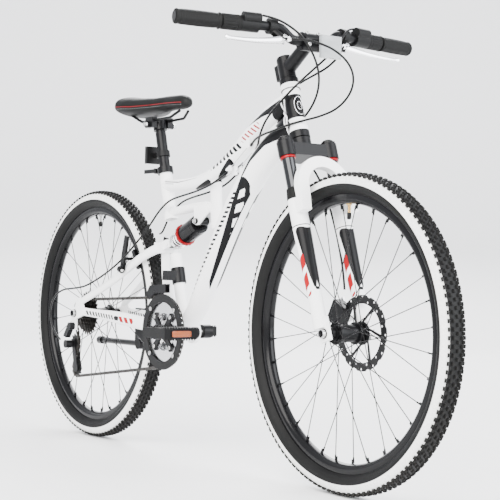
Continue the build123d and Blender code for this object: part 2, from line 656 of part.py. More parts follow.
def stem():
    """A rising stem: steerer clamp, extension, bar clamp with its faceplate, and spacers."""
    clamp = Location((-FORK_RAKE, 0, STEM_LOW_S)) * Cylinder(
        19, STEM_H, align=(Align.CENTER, Align.CENTER, Align.MIN))
    clamp = clamp + Location((-FORK_RAKE - 20, 0, STEM_LOW_S + 6)) * Box(
        20, 20, STEM_H - 12, align=(Align.CENTER, Align.CENTER, Align.MIN))
    cap = Location((-FORK_RAKE, 0, STEM_LOW_S + STEM_H)) * Cylinder(
        17.5, 4, align=(Align.CENTER, Align.CENTER, Align.MIN))
    socket = Location((-FORK_RAKE, 0, STEM_LOW_S - 1)) * Cylinder(
        STEERER_R, STEM_H + 1, align=(Align.CENTER, Align.CENTER, Align.MIN))
    body = in_fork(clamp + cap)
    start = fork_point(-FORK_RAKE + 12, 0, STEM_LOW_S + 24)
    body = body + cone(start, BAR_MID - STEER_FWD * 8, 16, 15)
    body = body + rod(BAR_MID + Vector(0, -24, 0), BAR_MID + Vector(0, 24, 0), 20)
    body = body - rod(BAR_MID + Vector(0, -40, 0), BAR_MID + Vector(0, 40, 0), BAR_CLAMP_R)
    body = body - in_fork(socket)
    split = Plane(origin=BAR_MID + STEER_FWD * 1.0, x_dir=(0, 1, 0), z_dir=STEER_FWD)
    front_half = split.location * Box(80, 60, 40, align=(Align.CENTER, Align.CENTER, Align.MIN))
    faceplate = body & front_half
    gap_plane = Plane(origin=BAR_MID - STEER_FWD * 1.0, x_dir=(0, 1, 0), z_dir=STEER_FWD)
    body = body - gap_plane.location * Box(80, 60, 40, align=(Align.CENTER, Align.CENTER, Align.MIN))
    pieces = [body, faceplate]
    cup_top = HEAD_TOP_S + 11
    spacer = Location((-FORK_RAKE, 0, cup_top + 0.4)) * Cylinder(
        18, STEM_LOW_S - cup_top - 0.4, align=(Align.CENTER, Align.CENTER, Align.MIN))
    hole = Location((-FORK_RAKE, 0, cup_top - 2)) * Cylinder(
        STEERER_R, 20, align=(Align.CENTER, Align.CENTER, Align.MIN))
    pieces.append(in_fork(spacer - hole))
    return pieces


def front_reflector():
    """A clear reflector on a band round the bar, beside the stem."""
    y = 33
    at = Vector(BAR_MID.X, y, BAR_MID.Z)
    band = rod(at + Vector(0, -4, 0), at + Vector(0, 4, 0), 15) - rod(
        at + Vector(0, -9, 0), at + Vector(0, 9, 0), BAR_R + 0.1)
    plate = block(BAR_MID.X + 30, BAR_MID.X + 37, 3, 58, BAR_MID.Z - 36, BAR_MID.Z + 13)
    post = block(BAR_MID.X + 12, BAR_MID.X + 31, y - 3, y + 3, BAR_MID.Z - 3, BAR_MID.Z + 3)
    return plate + post + band


def make_controls():
    save("stem", stem())
    save("handlebar", handlebar())
    save("handlebar_grips", grips())
    save("control_pods", control_pods())
    save("right_brake_lever", brake_lever(-1))
    save("left_brake_lever", brake_lever(1))
    save("right_twist_grip", twist_grip(-1))
    save("left_twist_grip", twist_grip(1))
    save("front_reflector", front_reflector())


# ---- saddle ----
def saddle_pad():
    sections = []
    for x, width, height, z in (
        (-92, 26, 20, 866), (-112, 40, 30, 869), (-180, 54, 36, 875), (-245, 86, 40, 881),
        (-310, 148, 44, 885), (-345, 150, 38, 888), (-364, 104, 24, 890),
    ):
        plane = Plane(origin=(x, 0, z), x_dir=(0, 1, 0), z_dir=(-1, 0, 0))
        sections.append(plane * Ellipse(width / 2, height / 2))
    return loft(sections)


def saddle_rails():
    """Two bent steel rails and the clamp that holds them on the post."""
    pieces = []
    for side in (1, -1):
        points = [(-118, side * 12, 853), (-150, side * 20, 838), (-285, side * 22, 836), (-330, side * 40, 862)]
        path = FilletPolyline(*points, radius=[20, 20])
        section = Plane(origin=points[0], z_dir=Vector(points[1]) - Vector(points[0])) * Circle(3.5)
        pieces.append(sweep(section, path=path))
    x = seat_axis(838)
    clamp = rod((x, -34, 826), (x, 34, 826), 5)
    for side in (1, -1):
        clamp = clamp + block(x - 17, x + 17, side * 16, side * 31, 818, 845)
        clamp = clamp + disc(x, 826, side * 32, side * 40, 8)
    clamp = clamp + rod(seat_point(812), seat_point(838), 17)
    clamp = clamp - rod(seat_point(790), seat_point(834), 11.5)
    for side in (1, -1):
        clamp = clamp - rod((-140, side * 20, 838.8), (-295, side * 22, 835.8), 3.7)
    pieces.append(clamp)
    return pieces


def make_saddle():
    post = rod(seat_point(600), seat_point(806), SEATPOST_R) + rod(seat_point(800), seat_point(834), 11.5)
    save("seatpost", post)
    save("saddle_rails", saddle_rails())
    save("saddle", saddle_pad())
    z = 750
    x = seat_axis(z)
    band = rod(seat_point(z - 7), seat_point(z + 7), 17) - rod(seat_point(z - 20), seat_point(z + 20), SEATPOST_R)
    box = block(x - 52, x - 40, -24, 24, z - 22, z + 22) + block(x - 41, x - 14, -5, 5, z - 6, z + 6)
    box = box - rod(seat_point(z - 20), seat_point(z + 20), SEATPOST_R)
    save("rear_reflector", box + band)


# ---- shock ----
SHOCK_F = Vector(SHOCK_FRONT[0], 0, SHOCK_FRONT[1])
SHOCK_R = Vector(SHOCK_REAR[0], 0, SHOCK_REAR[1])
SHOCK_DIR = (SHOCK_R - SHOCK_F).normalized()


def shock_at(t):
    return SHOCK_F + SHOCK_DIR * t


def make_shock():
    eye_f = disc(SHOCK_F.X, SHOCK_F.Z, -12.6, 12.6, 10)
    body = eye_f + rod(shock_at(8), shock_at(20), 12) + rod(shock_at(16), shock_at(80), 24)
    body = body - rod(shock_at(34), shock_at(90), 8)
    body = body - disc(SHOCK_F.X, SHOCK_F.Z, -20, 20, 4 + SLIDE_FIT)
    body = body + (rod(shock_at(80), shock_at(88), 27) - rod(shock_at(70), shock_at(98), 8))
    save("shock_body", body)
    length = (SHOCK_R - SHOCK_F).length
    shaft = rod(shock_at(58), shock_at(length - 8), 6) + rod(shock_at(length - 25), shock_at(length - 16), 20)
    shaft = shaft + disc(SHOCK_R.X, SHOCK_R.Z, -11, 11, 10)
    shaft = shaft - disc(SHOCK_R.X, SHOCK_R.Z, -20, 20, 5.5)
    save("shock_shaft", shaft)
    spring = rod(shock_at(88.4), shock_at(length - 25.4), 19) - rod(shock_at(80), shock_at(length), 12)
    save("shock_spring", spring)


# ---- rear swingarm ----
BRAKE_STUD = Vector(-314, 0, 456)       # both brake studs, seen from the side
STUD_DIR = Vector(0.956, 0, -0.290).normalized()
STUD_Y = 60.8


def swingarm():
    """The welded rear triangle: pivot rings, chainstays, seatstays, yoke and dropouts."""
    arm = None
    for side in (1, -1):
        pivot = ring(BB_X, BB_Z, side * 24.6, side * 35.6, 29, PIVOT_R + SLIDE_FIT)
        lower = stay([
            (BB_X - 22, side * 31, BB_Z + 6, 12, 30), (-178, side * 34, 316, 13, 32),
            (-236, side * 43, 322, 15, 34), (-380, side * 56, 334, 15, 28), (-500, side * 70, 341, 10, 22),
        ])
        upper = stay([
            (-524, side * 70, 362, 11, 18), (-400, side * 52, 414, 15, 20), (-300, side * 43, 462, 15, 22),
            (-226, side * 34, 497, 16, 24), (-190, side * 20, 512, 16, 26),
        ])
        tip = plate_xz([(-560, 318), (-526, 322), (-492, 331), (-494, 352), (-512, 378), (-530, 372),
                        (-540, 352), (-562, 350)], side * 67.6, side * 73.6)
        half = lower + upper + tip
        half = half - disc(BB_X, BB_Z, side * 20, side * 40, 27)
        half = half + pivot
        centre = BRAKE_STUD + Vector(0, side * STUD_Y, 0)
        root = centre - STUD_DIR * 12
        half = half + rod((root.X, side * 40, root.Z), (root.X, side * (STUD_Y + 3), root.Z), 5)
        half = half + rod(root, centre + STUD_DIR * 9, 4)
        arm = half if arm is None else arm + half
    yoke = block(-206, -176, -26, 26, 500, 526)
    front_leg = shaped_tube([(-192, 508, 22, 22), (-186, 440, 24, 20), (-160, 372, 26, 20), (-134, 338, 22, 18)])
    bridge = rod((-134, -31, 333), (-134, 31, 333), 8)
    arm = arm + yoke + front_leg + bridge
    for side in (1, -1):
        x, z = SHOCK_REAR
        ear = plate_xz([(x + 9, z - 6), (x + 7, z + 8), (x - 8, z + 11), (x - 40, z + 4),
                        (x - 40, z - 20), (x - 6, z - 10)], side * 12.5, side * 18)
        arm = arm + ear
    pin = disc(SHOCK_REAR[0], SHOCK_REAR[1], -22, 22, 4.0)
    arm = arm + pin
    hanger = plate_xz([(-562, 352), (-534, 330), (-534, 290), (-556, 290)], -73.6, -67.6)
    arm = arm + hanger
    return arm - disc(REAR_X, WHEEL_R, -90, 90, 5.0)


def rear_axle():
    axle = disc(REAR_X, WHEEL_R, -84, 84, 5.0)
    for side in (1, -1):
        axle = axle + disc(REAR_X, WHEEL_R, side * 73.6, side * 82, 9)
    axle = axle + disc(REAR_X, WHEEL_R, -67.4, -65.6, 8) + disc(REAR_X, WHEEL_R, 61, 67.4, 9)
    return axle


def kickstand_pieces():
    """The bracket clamped to the left chainstay, and the folding leg."""
    x = -440
    stay_z = 338
    bracket = block(x - 22, x + 22, 70, 78, 262, stay_z + 14)
    bracket = bracket + block(x - 22, x + 22, 52, 72, 300, 318)
    bracket = bracket + disc(x, 255, 66, 80, 14)
    leg = disc(x, 255, 80.4, 94, 13) + rod((x, 88, 255), (-716, 104, 251), 8)
    foot = rod((-700, 103, 251), (-724, 104.5, 250.6), 11)
    return bracket, leg + foot


def v_brake_arm(side):
    """One long brake arm on its stud, with its pad and holder."""
    centre = BRAKE_STUD + Vector(0, side * STUD_Y, 0)
    arm = plate_xz([(-318, 452), (-304, 448), (-290, 500), (-281, 540), (-295, 544), (-308, 500)],
                   side * 55.2, side * 62)
    hub = rod(centre - STUD_DIR * 5.5, centre + STUD_DIR * 8, 8)
    post = rod((-306, side * 24, 484), (-306, side * 60, 484), 4)
    pad = block(-332, -278, side * 15.6, side * 24, 478, 490)
    pad = Location((-306, 0, 484)) * (Rotation(0, 57.5, 0) * (Location((306, 0, -484)) * pad))
    return arm + hub + post + pad - rod(centre - STUD_DIR * 20, centre + STUD_DIR * 20, 4 + SLIDE_FIT)


def make_rear():
    save("swingarm", swingarm())
    save("rear_axle", rear_axle())
    bracket, leg = kickstand_pieces()
    save("kickstand_bracket", bracket)
    save("kickstand_leg", leg)
    save("left_v_brake_arm", v_brake_arm(1))
    save("right_v_brake_arm", v_brake_arm(-1))


# ---- drivetrain ----
def tangent_points(c1, r1, c2, r2, side1, side2):
    """Where a straight chain run leaves circle 1 and meets circle 2.

    side is +1 where the run has the circle on its right hand as seen from the right of the
    bike, and -1 where it has the circle on its left hand.
    """
    dx = c2[0] - c1[0]
    dz = c2[1] - c1[1]
    gap = sqrt(dx * dx + dz * dz)
    heading = atan2(dz, dx)
    tilt = asin((side1 * r1 - side2 * r2) / gap)
    normal = heading + pi / 2 - tilt
    nx = cos(normal)
    nz = sin(normal)
    p1 = (c1[0] + side1 * r1 * nx, c1[1] + side1 * r1 * nz)
    p2 = (c2[0] + side2 * r2 * nx, c2[1] + side2 * r2 * nz)
    return p1, p2, (nx, nz)


def chain_wire(offset):
    """The chain's closed path, moved outwards from its pitch line by an offset."""
    wheels = [
        ((REAR_X, WHEEL_R), pitch_radius(COG_TEETH[DRIVEN_COG]), 1),
        ((BB_X, BB_Z), pitch_radius(RING_TEETH[0]), 1),
        (TENSION_PULLEY, pitch_radius(PULLEY_TEETH), 1),
        (GUIDE_PULLEY, pitch_radius(PULLEY_TEETH), -1),
    ]
    runs = []
    count = len(wheels)
    for i in range(count):
        c1, r1, s1 = wheels[i]
        c2, r2, s2 = wheels[(i + 1) % count]
        p1, p2, normal = tangent_points(c1, r1, c2, r2, s1, s2)
        runs.append(((p1[0] + normal[0] * offset, p1[1] + normal[1] * offset),
                     (p2[0] + normal[0] * offset, p2[1] + normal[1] * offset), normal))
    edges = []
    for i in range(count):
        start, end, normal = runs[i]
        edges.append(Edge.make_line((start[0], 0, start[1]), (end[0], 0, end[1])))
        centre, radius, side = wheels[(i + 1) % count]
        nxt = runs[(i + 1) % count][0]
        a0 = atan2(end[1] - centre[1], end[0] - centre[0])
        a1 = atan2(nxt[1] - centre[1], nxt[0] - centre[0])
        if side > 0:
            while a1 > a0:
                a1 -= 2 * pi
        else:
            while a1 < a0:
                a1 += 2 * pi
        mid = (a0 + a1) / 2
        reach = radius + side * offset
        middle = (centre[0] + reach * cos(mid), 0, centre[1] + reach * sin(mid))
        edges.append(Edge.make_three_point_arc((end[0], 0, end[1]), middle, (nxt[0], 0, nxt[1])))
    return Wire(edges), runs


def chain():
    """The roller chain as two rows of side plates joined by rollers on the free runs."""
    outer, _ = chain_wire(4.0)
    inner, _ = chain_wire(-4.0)
    _, runs = chain_wire(0.0)
    face = Face(outer, [inner])
    loop = None
    for y0 in (CHAIN_Y - 3.2, CHAIN_Y + 2.0):
        plates = Location((0, y0, 0)) * extrude(face, 1.2, dir=(0, 1, 0))
        loop = plates if loop is None else loop + plates
    pins = []
    for start, end, _ in (runs[0], runs[1]):
        dx = end[0] - start[0]
        dz = end[1] - start[1]
        length = sqrt(dx * dx + dz * dz)
        count = int((length - 20) / (2 * CHAIN_PITCH))
        for i in range(1, count + 1):
            share = i / (count + 1)
            pins.append(disc(start[0] + dx * share, start[1] + dz * share, CHAIN_Y - 2.6, CHAIN_Y + 2.6, 2.2))
    for pin in pins:
        loop = loop + pin
    return loop


def chainrings():
    pieces = []
    for i, teeth in enumerate(RING_TEETH):
        inner = 46 if i < 2 else 30
        pieces.append(toothed(BB_X, BB_Z, CHAIN_Y + i * RING_GAP, teeth, 2.0, inner))
    return pieces


def crank_arm(side):
    """One forged arm with its spindle boss and pedal eye."""
    angle = radians(CRANK_RISE if side < 0 else 180 + CRANK_RISE)
    px = BB_X + CRANK_LENGTH * cos(angle)
    pz = BB_Z + CRANK_LENGTH * sin(angle)
    y_in = side * 66
    y_out = side * 79
    nx = -sin(angle)
    nz = cos(angle)
    arm = plate_xz([
        (BB_X + 14 * nx, BB_Z + 14 * nz), (px + 11 * nx, pz + 11 * nz),
        (px - 11 * nx, pz - 11 * nz), (BB_X - 14 * nx, BB_Z - 14 * nz),
    ], y_in, y_out)
    boss_in = 55 if side > 0 else 45
    arm = arm + disc(px, pz, y_in, y_out, 13) + disc(BB_X, BB_Z, side * boss_in, y_out, 17)
    if side < 0:
        for i in range(4):
            spread = radians(9)
            lean = 2 * pi * (i + 0.5) / 4
            corners = []
            for turn, radius in ((-spread * 2, 14), (-spread, 58), (spread, 58), (spread * 2, 14)):
                corners.append((BB_X + radius * cos(lean + turn), BB_Z + radius * sin(lean + turn)))
            arm = arm + plate_xz(corners, CHAIN_Y - 1.0, CHAIN_Y - 6.5)
    arm = arm - disc(BB_X, BB_Z, side * 40, side * 72, 8.5)
    return arm - disc(px, pz, side * 60, side * 90, 7), (px, pz)


def pedal(px, pz, side):
    """A plastic platform with open windows, turning on the crank's spindle."""
    y0 = side * 94
    y1 = side * 182
    body = block(px - 46, px + 46, y0, y1, pz - 12, pz + 12)
    for x0, x1 in ((px - 37, px - 15), (px + 15, px + 37)):
        for a, b in ((100, 134), (142, 175)):
            body = body - block(x0, x1, side * a, side * b, pz - 20, pz + 20)
    body = body + disc(px, pz, y0, y1, 14)
    body = body - disc(px, pz, side * 90, side * 176, 7 + SLIDE_FIT)
    lens = []
    for end in (1, -1):
        lens.append(block(px + end * 46, px + end * 49, side * 112, side * 164, pz - 7, pz + 7))
    return [body + lens[0] + lens[1]]


def make_drivetrain():
    save("chain", chain())
    save("chainrings", chainrings())
    save("chain_guard", ring(BB_X, BB_Z, CHAIN_Y - 7.6, CHAIN_Y - 4.4, 92.5, 73))
    right, right_eye = crank_arm(-1)
    left, left_eye = crank_arm(1)
    save("right_crank", right)
    save("left_crank", left)
    spindles = [disc(BB_X, BB_Z, -72, 72, 8.5)]
    for side, (px, pz) in ((-1, right_eye), (1, left_eye)):
        spindles.append(disc(px, pz, side * 66, side * 174, 7))
    save("crank_spindles", spindles)
    save("right_pedal", pedal(right_eye[0], right_eye[1], -1))
    save("left_pedal", pedal(left_eye[0], left_eye[1], 1))
    cogs = ring(REAR_X, WHEEL_R, -64, -30.5, 17, 14.5)
    for i, teeth in enumerate(COG_TEETH):
        y = CHAIN_Y + (i - DRIVEN_COG) * COG_GAP
        cogs = cogs + toothed(REAR_X, WHEEL_R, y, teeth, 1.9, 16)
    save("freewheel", cogs)


def make_derailleur():
    """The rear derailleur: its fixed links, moving knuckle, cage and two pulleys."""
    gx, gz = GUIDE_PULLEY
    tx, tz = TENSION_PULLEY
    mount = disc(-545, 300, -73.7, -88, 10)
    mount = mount + plate_xz([(-552, 306), (-537, 300), (-560, 268), (-578, 272)], -75, -88)
    save("rear_derailleur_body", mount)
    knuckle = disc(gx - 4, gz - 3, -64, -82, 11) + disc(gx - 4, gz - 3, -61, -64, 5)
    save("derailleur_knuckle", knuckle)
    along = degrees(atan2(tz - gz, tx - gx))
    cage = None
    for y in (CHAIN_Y - 7.0, CHAIN_Y + 5.0):
        dx = cos(radians(along + 90))
        dz = sin(radians(along + 90))
        sheet = plate_xz([(gx + 9 * dx, gz + 9 * dz), (tx + 9 * dx, tz + 9 * dz),
                          (tx - 9 * dx, tz - 9 * dz), (gx - 9 * dx, gz - 9 * dz)], y, y + 2)
        sheet = sheet + disc(gx, gz, y, y + 2, 12) + disc(tx, tz, y, y + 2, 12)
        cage = sheet if cage is None else cage + sheet
    cage = cage + disc(gx, gz, CHAIN_Y - 6, CHAIN_Y + 6, 3) + disc(tx, tz, CHAIN_Y - 6, CHAIN_Y + 6, 3)
    cage = cage - disc(gx - 4, gz - 3, -59.5, -70, 5.05)
    save("derailleur_cage", cage)
    save("guide_pulley", toothed(gx, gz, CHAIN_Y, PULLEY_TEETH, 2.4, 3 + SLIDE_FIT))
    save("tension_pulley", toothed(tx, tz, CHAIN_Y, PULLEY_TEETH, 2.4, 3 + SLIDE_FIT))


# ---- cables ----
HOUSING_R = 2.5
WIRE_R = 1.0
FRONT_ROUTES = {
    "rear gear housing": [
        (390, -124, 1002), (402, -102, 998), (416, -74, 984), (424, -42, 962), (416, -10, 934),
        (402, 16, 908), (388, 33, 879), (371, 39, 845), (344, 37, 812), (306, 33, 788), (258, 30, 770),
        (216, 22, 754), (199, 15, 746),
    ],
    "rear brake housing": [
        (418, -70, 954), (428, -44, 956), (441, -12, 950), (453, 20, 938), (468, 46, 914),
        (475, 60, 882), (464, 61, 846), (430, 52, 815), (396, 32, 800), (382, 0, 790),
        (366, -27, 781), (332, -36, 772), (286, -35, 766), (240, -28, 760), (214, -20, 752), (199, -15, 746),
    ],
    "front gear housing": [
        (390, 124, 1002), (402, 102, 998), (412, 82, 984), (411, 66, 958), (400, 42, 928), (386, 10, 896),
        (368, -20, 862), (334, -34, 830), (292, -38, 800), (256, -30, 770), (222, -12, 746), (199, 0, 737),
    ],
}
FRONT_BRAKE_ROUTE = [
    (420, 72, 954), (416, 66, 934), (398, 48, 908), (362, 38, 894), (318, 38, 884), (276, 30, 866),
    (250, 26, 836), (242, 34, 800), (256, 44, 764), (292, 52, 728), (334, 57, 696), (370, 58, 656),
    (398, 58, 608), (422, 58, 556), (442, 57, 502), (456, 56, 454), (461, 55, 424),
]
REAR_ROUTES = {
    "rear brake housing": [
        (101, 15, 688), (60, 19, 668), (12, 20, 655), (-42, 19, 646), (-98, 19, 639), (-148, 22, 631),
        (-194, 26, 614), (-232, 30, 590), (-262, 36, 564), (-284, 42, 552), (-300, 46, 551),
    ],
    "rear gear housing": [
        (101, -15, 688), (60, -19, 668), (12, -20, 655), (-42, -19, 646), (-98, -19, 639), (-146, -22, 630),
        (-186, -27, 604), (-212, -38, 566), (-238, -56, 528), (-272, -68, 494), (-320, -71, 467),
        (-372, -72, 445), (-424, -75, 425), (-474, -80, 408), (-528, -86, 402), (-584, -90, 398),
        (-632, -92, 376), (-654, -92, 336), (-642, -91, 298), (-612, -90, 272), (-590, -90, 262),
    ],
}
WIRE_ENDS = [((182, y, 740 - drop), (119, y, 700 - drop)) for y, drop in ((-15, 0), (15, 0), (0, 9))]


def make_cables():
    save("front_housings", [cable(points, HOUSING_R, name) for name, points in FRONT_ROUTES.items()])
    save("front_brake_housing", cable(FRONT_BRAKE_ROUTE, HOUSING_R, "front brake housing"))
    rear = [cable(points, HOUSING_R, name) for name, points in REAR_ROUTES.items()]
    save("rear_housings", rear + [rod(a, b, WIRE_R) for a, b in WIRE_ENDS])


def main():
    os.makedirs("parts", exist_ok=True)
    make_wheels()
    make_frame()
    make_fork()
    make_controls()
    make_saddle()
    make_shock()
    make_rear()
    make_drivetrain()
    make_derailleur()
    make_cables()


main()
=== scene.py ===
"""A full-suspension mountain bike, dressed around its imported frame.

Metres, +X forward, +Y to the rider's left, +Z up, with the origin on the ground midway between
the two wheel centres. Each sub-assembly is a class that builds its meshes and dresses them.
"""

from __future__ import annotations

import logging
import math
from dataclasses import dataclass, field
from enum import Enum

import bmesh
import bpy
import numpy as np
from mathutils import Matrix, Vector


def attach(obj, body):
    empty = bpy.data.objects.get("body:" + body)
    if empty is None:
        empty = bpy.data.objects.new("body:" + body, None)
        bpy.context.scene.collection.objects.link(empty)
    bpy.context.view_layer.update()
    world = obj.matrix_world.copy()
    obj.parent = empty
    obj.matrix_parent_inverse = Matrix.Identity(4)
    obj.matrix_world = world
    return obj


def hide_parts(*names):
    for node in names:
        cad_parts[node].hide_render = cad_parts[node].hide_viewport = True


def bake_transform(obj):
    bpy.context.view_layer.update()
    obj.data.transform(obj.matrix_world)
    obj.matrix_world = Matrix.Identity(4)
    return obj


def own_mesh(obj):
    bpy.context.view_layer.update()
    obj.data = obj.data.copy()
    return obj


LOG = logging.getLogger("bicycle")
Array = np.ndarray
Colour = tuple[float, float, float]
Point = tuple[float, float, float]

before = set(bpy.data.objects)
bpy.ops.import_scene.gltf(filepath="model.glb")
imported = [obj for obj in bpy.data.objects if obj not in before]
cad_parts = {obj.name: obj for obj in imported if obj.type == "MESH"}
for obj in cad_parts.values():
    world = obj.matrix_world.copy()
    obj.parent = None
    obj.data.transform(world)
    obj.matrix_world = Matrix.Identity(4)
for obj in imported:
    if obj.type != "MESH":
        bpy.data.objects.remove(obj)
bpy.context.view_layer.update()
FRONT_HUB = (0.540, 0.335)
REAR_HUB = (-0.540, 0.335)
BOTTOM_BRACKET = (-0.104, 0.306)
STEER = math.radians(70.5)
STEER_UP = np.array([-math.cos(STEER), 0.0, math.sin(STEER)])
STEER_FORWARD = np.array([math.sin(STEER), 0.0, math.cos(STEER)])


def fork_place(forward: float, side: float, up: float) -> Array:
    """Gives a place on the fork's own axes, measured from the front hub.

    Args:
        forward: distance in front of the hub, square to the steering axis.
        side: distance from the middle plane, positive to the rider's left.
        up: distance from the hub along the steering axis.

    Returns:
        The place in the row frame.
    """
    base = np.array([FRONT_HUB[0], side, FRONT_HUB[1]])
    return base + STEER_FORWARD * forward + STEER_UP * up


class Side(Enum):
    """Which side of the bike a piece is on, as the sign of Y."""

    LEFT = 1
    RIGHT = -1


# ---- surfaces ----
@dataclass
class Surface:
    """Points with the quads and triangles that join them."""

    points: Array
    quads: Array = field(default_factory=lambda: np.zeros((0, 4), int))
    triangles: Array = field(default_factory=lambda: np.zeros((0, 3), int))

    def joined(self, *others: Surface) -> Surface:
        """Adds other surfaces to this one.

        Args:
            others: the surfaces to add.

        Returns:
            One surface that holds them all.
        """
        every = (self, *others)
        starts = np.cumsum([0] + [len(s.points) for s in every[:-1]])
        return Surface(
            np.concatenate([s.points for s in every]),
            np.concatenate([s.quads + n for s, n in zip(every, starts)]),
            np.concatenate([s.triangles + n for s, n in zip(every, starts)]),
        )

    def repeated(self, turns: Array, places: Array) -> Surface:
        """Copies the surface to many places.

        Each copy is the turn times the points, plus the place.

        Args:
            turns: one 3 by 3 matrix for each copy.
            places: one point for each copy.

        Returns:
            One surface that holds every copy.
        """
        count = len(places)
        points = np.einsum("kij,nj->kni", turns, self.points) + places[:, None, :]
        step = (np.arange(count) * len(self.points))[:, None, None]
        return Surface(
            points.reshape(-1, 3),
            (self.quads[None] + step).reshape(-1, 4),
            (self.triangles[None] + step).reshape(-1, 3),
        )

    def make(self, name: str, finish: bpy.types.Material, crease: float = 35.0) -> bpy.types.Object:
        """Turns the surface into a smooth-shaded mesh object with its faces pointing outwards.

        Args:
            name: the object's name.
            finish: its material.
            crease: edges sharper than this many degrees stay sharp.

        Returns:
            The object, linked to the scene and sitting at the origin.
        """
        mesh = bpy.data.meshes.new(name)
        mesh.from_pydata(self.points.tolist(), [], self.quads.tolist() + self.triangles.tolist())
        work = bmesh.new()
        work.from_mesh(mesh)
        bmesh.ops.remove_doubles(work, verts=work.verts, dist=1e-6)
        bmesh.ops.recalc_face_normals(work, faces=work.faces)
        work.to_mesh(mesh)
        work.free()
        mesh.shade_smooth()
        mesh.set_sharp_from_angle(angle=math.radians(crease))
        mesh.materials.append(finish)
        piece = bpy.data.objects.new(name, mesh)
        bpy.context.scene.collection.objects.link(piece)
        return piece


def grid(points: Array, around: bool = True, along: bool = False, ends: bool = True) -> Surface:
    """Joins a grid of points into a skin.

    Args:
        points: the grid, of shape (rows, columns, 3).
        around: the last column joins the first.
        along: the last row joins the first.
        ends: the first and last rows are closed with a fan to their middle.

    Returns:
        The surface.
    """
    rows, columns = points.shape[:2]
    index = np.arange(rows * columns).reshape(rows, columns)
    if around:
        index = np.concatenate([index, index[:, :1]], axis=1)
    if along:
        index = np.concatenate([index, index[:1]], axis=0)
    quads = np.stack([index[:-1, :-1], index[:-1, 1:], index[1:, 1:], index[1:, :-1]], axis=-1).reshape(-1, 4)
    flat = points.reshape(-1, 3)
    if along or not ends:
        return Surface(flat, quads)
    middles = np.stack([points[0].mean(0), points[-1].mean(0)])
    first, last = rows * columns, rows * columns + 1
    low = np.stack([index[0, 1:], index[0, :-1], np.full(len(index[0]) - 1, first)], axis=-1)
    high = np.stack([index[-1, :-1], index[-1, 1:], np.full(len(index[0]) - 1, last)], axis=-1)
    return Surface(np.concatenate([flat, middles]), quads, np.concatenate([low, high]))


def square_axes(direction: Array) -> tuple[Array, Array]:
    """Finds two unit directions square to a direction and to each other."""
    unit = direction / np.linalg.norm(direction)
    helper = np.array([0.0, 1.0, 0.0]) if abs(unit[1]) < 0.9 else np.array([1.0, 0.0, 0.0])
    first = np.cross(helper, unit)
    first /= np.linalg.norm(first)
    return first, np.cross(unit, first)


def spun(profile: Array, origin: Array, axis: Array, steps: int = 48, wave: Array | None = None) -> Surface:
    """Spins a profile about an axis.

    A point is origin + axis * along + radius * (cos a * first + sin a * second), and a wave
    multiplies the radius by a factor that depends on the angle.

    Args:
        profile: rows of (along, radius).
        origin: where along is nought.
        axis: the axis to spin about.
        steps: how many points round the axis.
        wave: a factor for each point round the axis, or for each row and each point.

    Returns:
        A closed surface.
    """
    unit = axis / np.linalg.norm(axis)
    first, second = square_axes(unit)
    angle = np.linspace(0, 2 * np.pi, steps, endpoint=False)
    factor = np.ones(steps) if wave is None else wave
    radius = profile[:, 1][:, None] * factor
    circle = np.cos(angle)[:, None] * first + np.sin(angle)[:, None] * second
    points = origin + profile[:, 0][:, None, None] * unit + radius[..., None] * circle[None]
    return grid(points)


def hoop(profile: Array, centre: tuple[float, float], steps: int = 192) -> Surface:
    """Carries a closed profile round a wheel's axle.

    A point is (x + r sin a, y, z + r cos a), for a profile of (r, y).

    Args:
        profile: rows of (radius, y), in order round the closed section.
        centre: x and z of the axle.
        steps: how many points round the wheel.

    Returns:
        A closed ring.
    """
    angle = np.linspace(0, 2 * np.pi, steps, endpoint=False)[:, None]
    radius, side = profile[:, 0][None], profile[:, 1][None]
    points = np.stack([centre[0] + radius * np.sin(angle), side + 0 * angle,
                       centre[1] + radius * np.cos(angle)], -1)
    return grid(points, around=True, along=True, ends=False)


def tube(path: Array, radius: float | Array, sides: int = 12, flat: float = 1.0) -> Surface:
    """Carries a circle along a path, turning it no more than the path does.

    Args:
        path: the points that the tube's middle follows.
        radius: one radius, or one for each point.
        sides: how many points round the tube.
        flat: the second axis of the section as a share of the first.

    Returns:
        A closed tube.
    """
    tangent = np.gradient(path, axis=0)
    tangent /= np.linalg.norm(tangent, axis=1)[:, None]
    first = np.zeros_like(path)
    first[0] = square_axes(tangent[0])[0]
    for i in range(1, len(path)):
        carried = first[i - 1] - tangent[i] * (first[i - 1] @ tangent[i])
        first[i] = carried / np.linalg.norm(carried)
    second = np.cross(tangent, first)
    angle = np.linspace(0, 2 * np.pi, sides, endpoint=False)
    reach = np.broadcast_to(np.asarray(radius, float), (len(path),))[:, None, None]
    ring = (np.cos(angle)[None, :, None] * first[:, None]
            + flat * np.sin(angle)[None, :, None] * second[:, None])
    return grid(path[:, None] + reach * ring)


def wedge(length: float, width: float, height: float, draft: float = 0.72) -> Surface:
    """Makes a low block whose top is smaller than its foot, standing on the plane z = 0."""
    corner = np.array([[-0.5, -0.5], [0.5, -0.5], [0.5, 0.5], [-0.5, 0.5]]) * np.array([length, width])
    foot = np.column_stack([corner, np.full(4, -0.3 * height)])
    shoulder = np.column_stack([corner * (0.5 + draft / 2), np.full(4, height * 0.8)])
    top = np.column_stack([corner * draft * 0.9, np.full(4, height)])
    return grid(np.stack([foot, shoulder, top]))


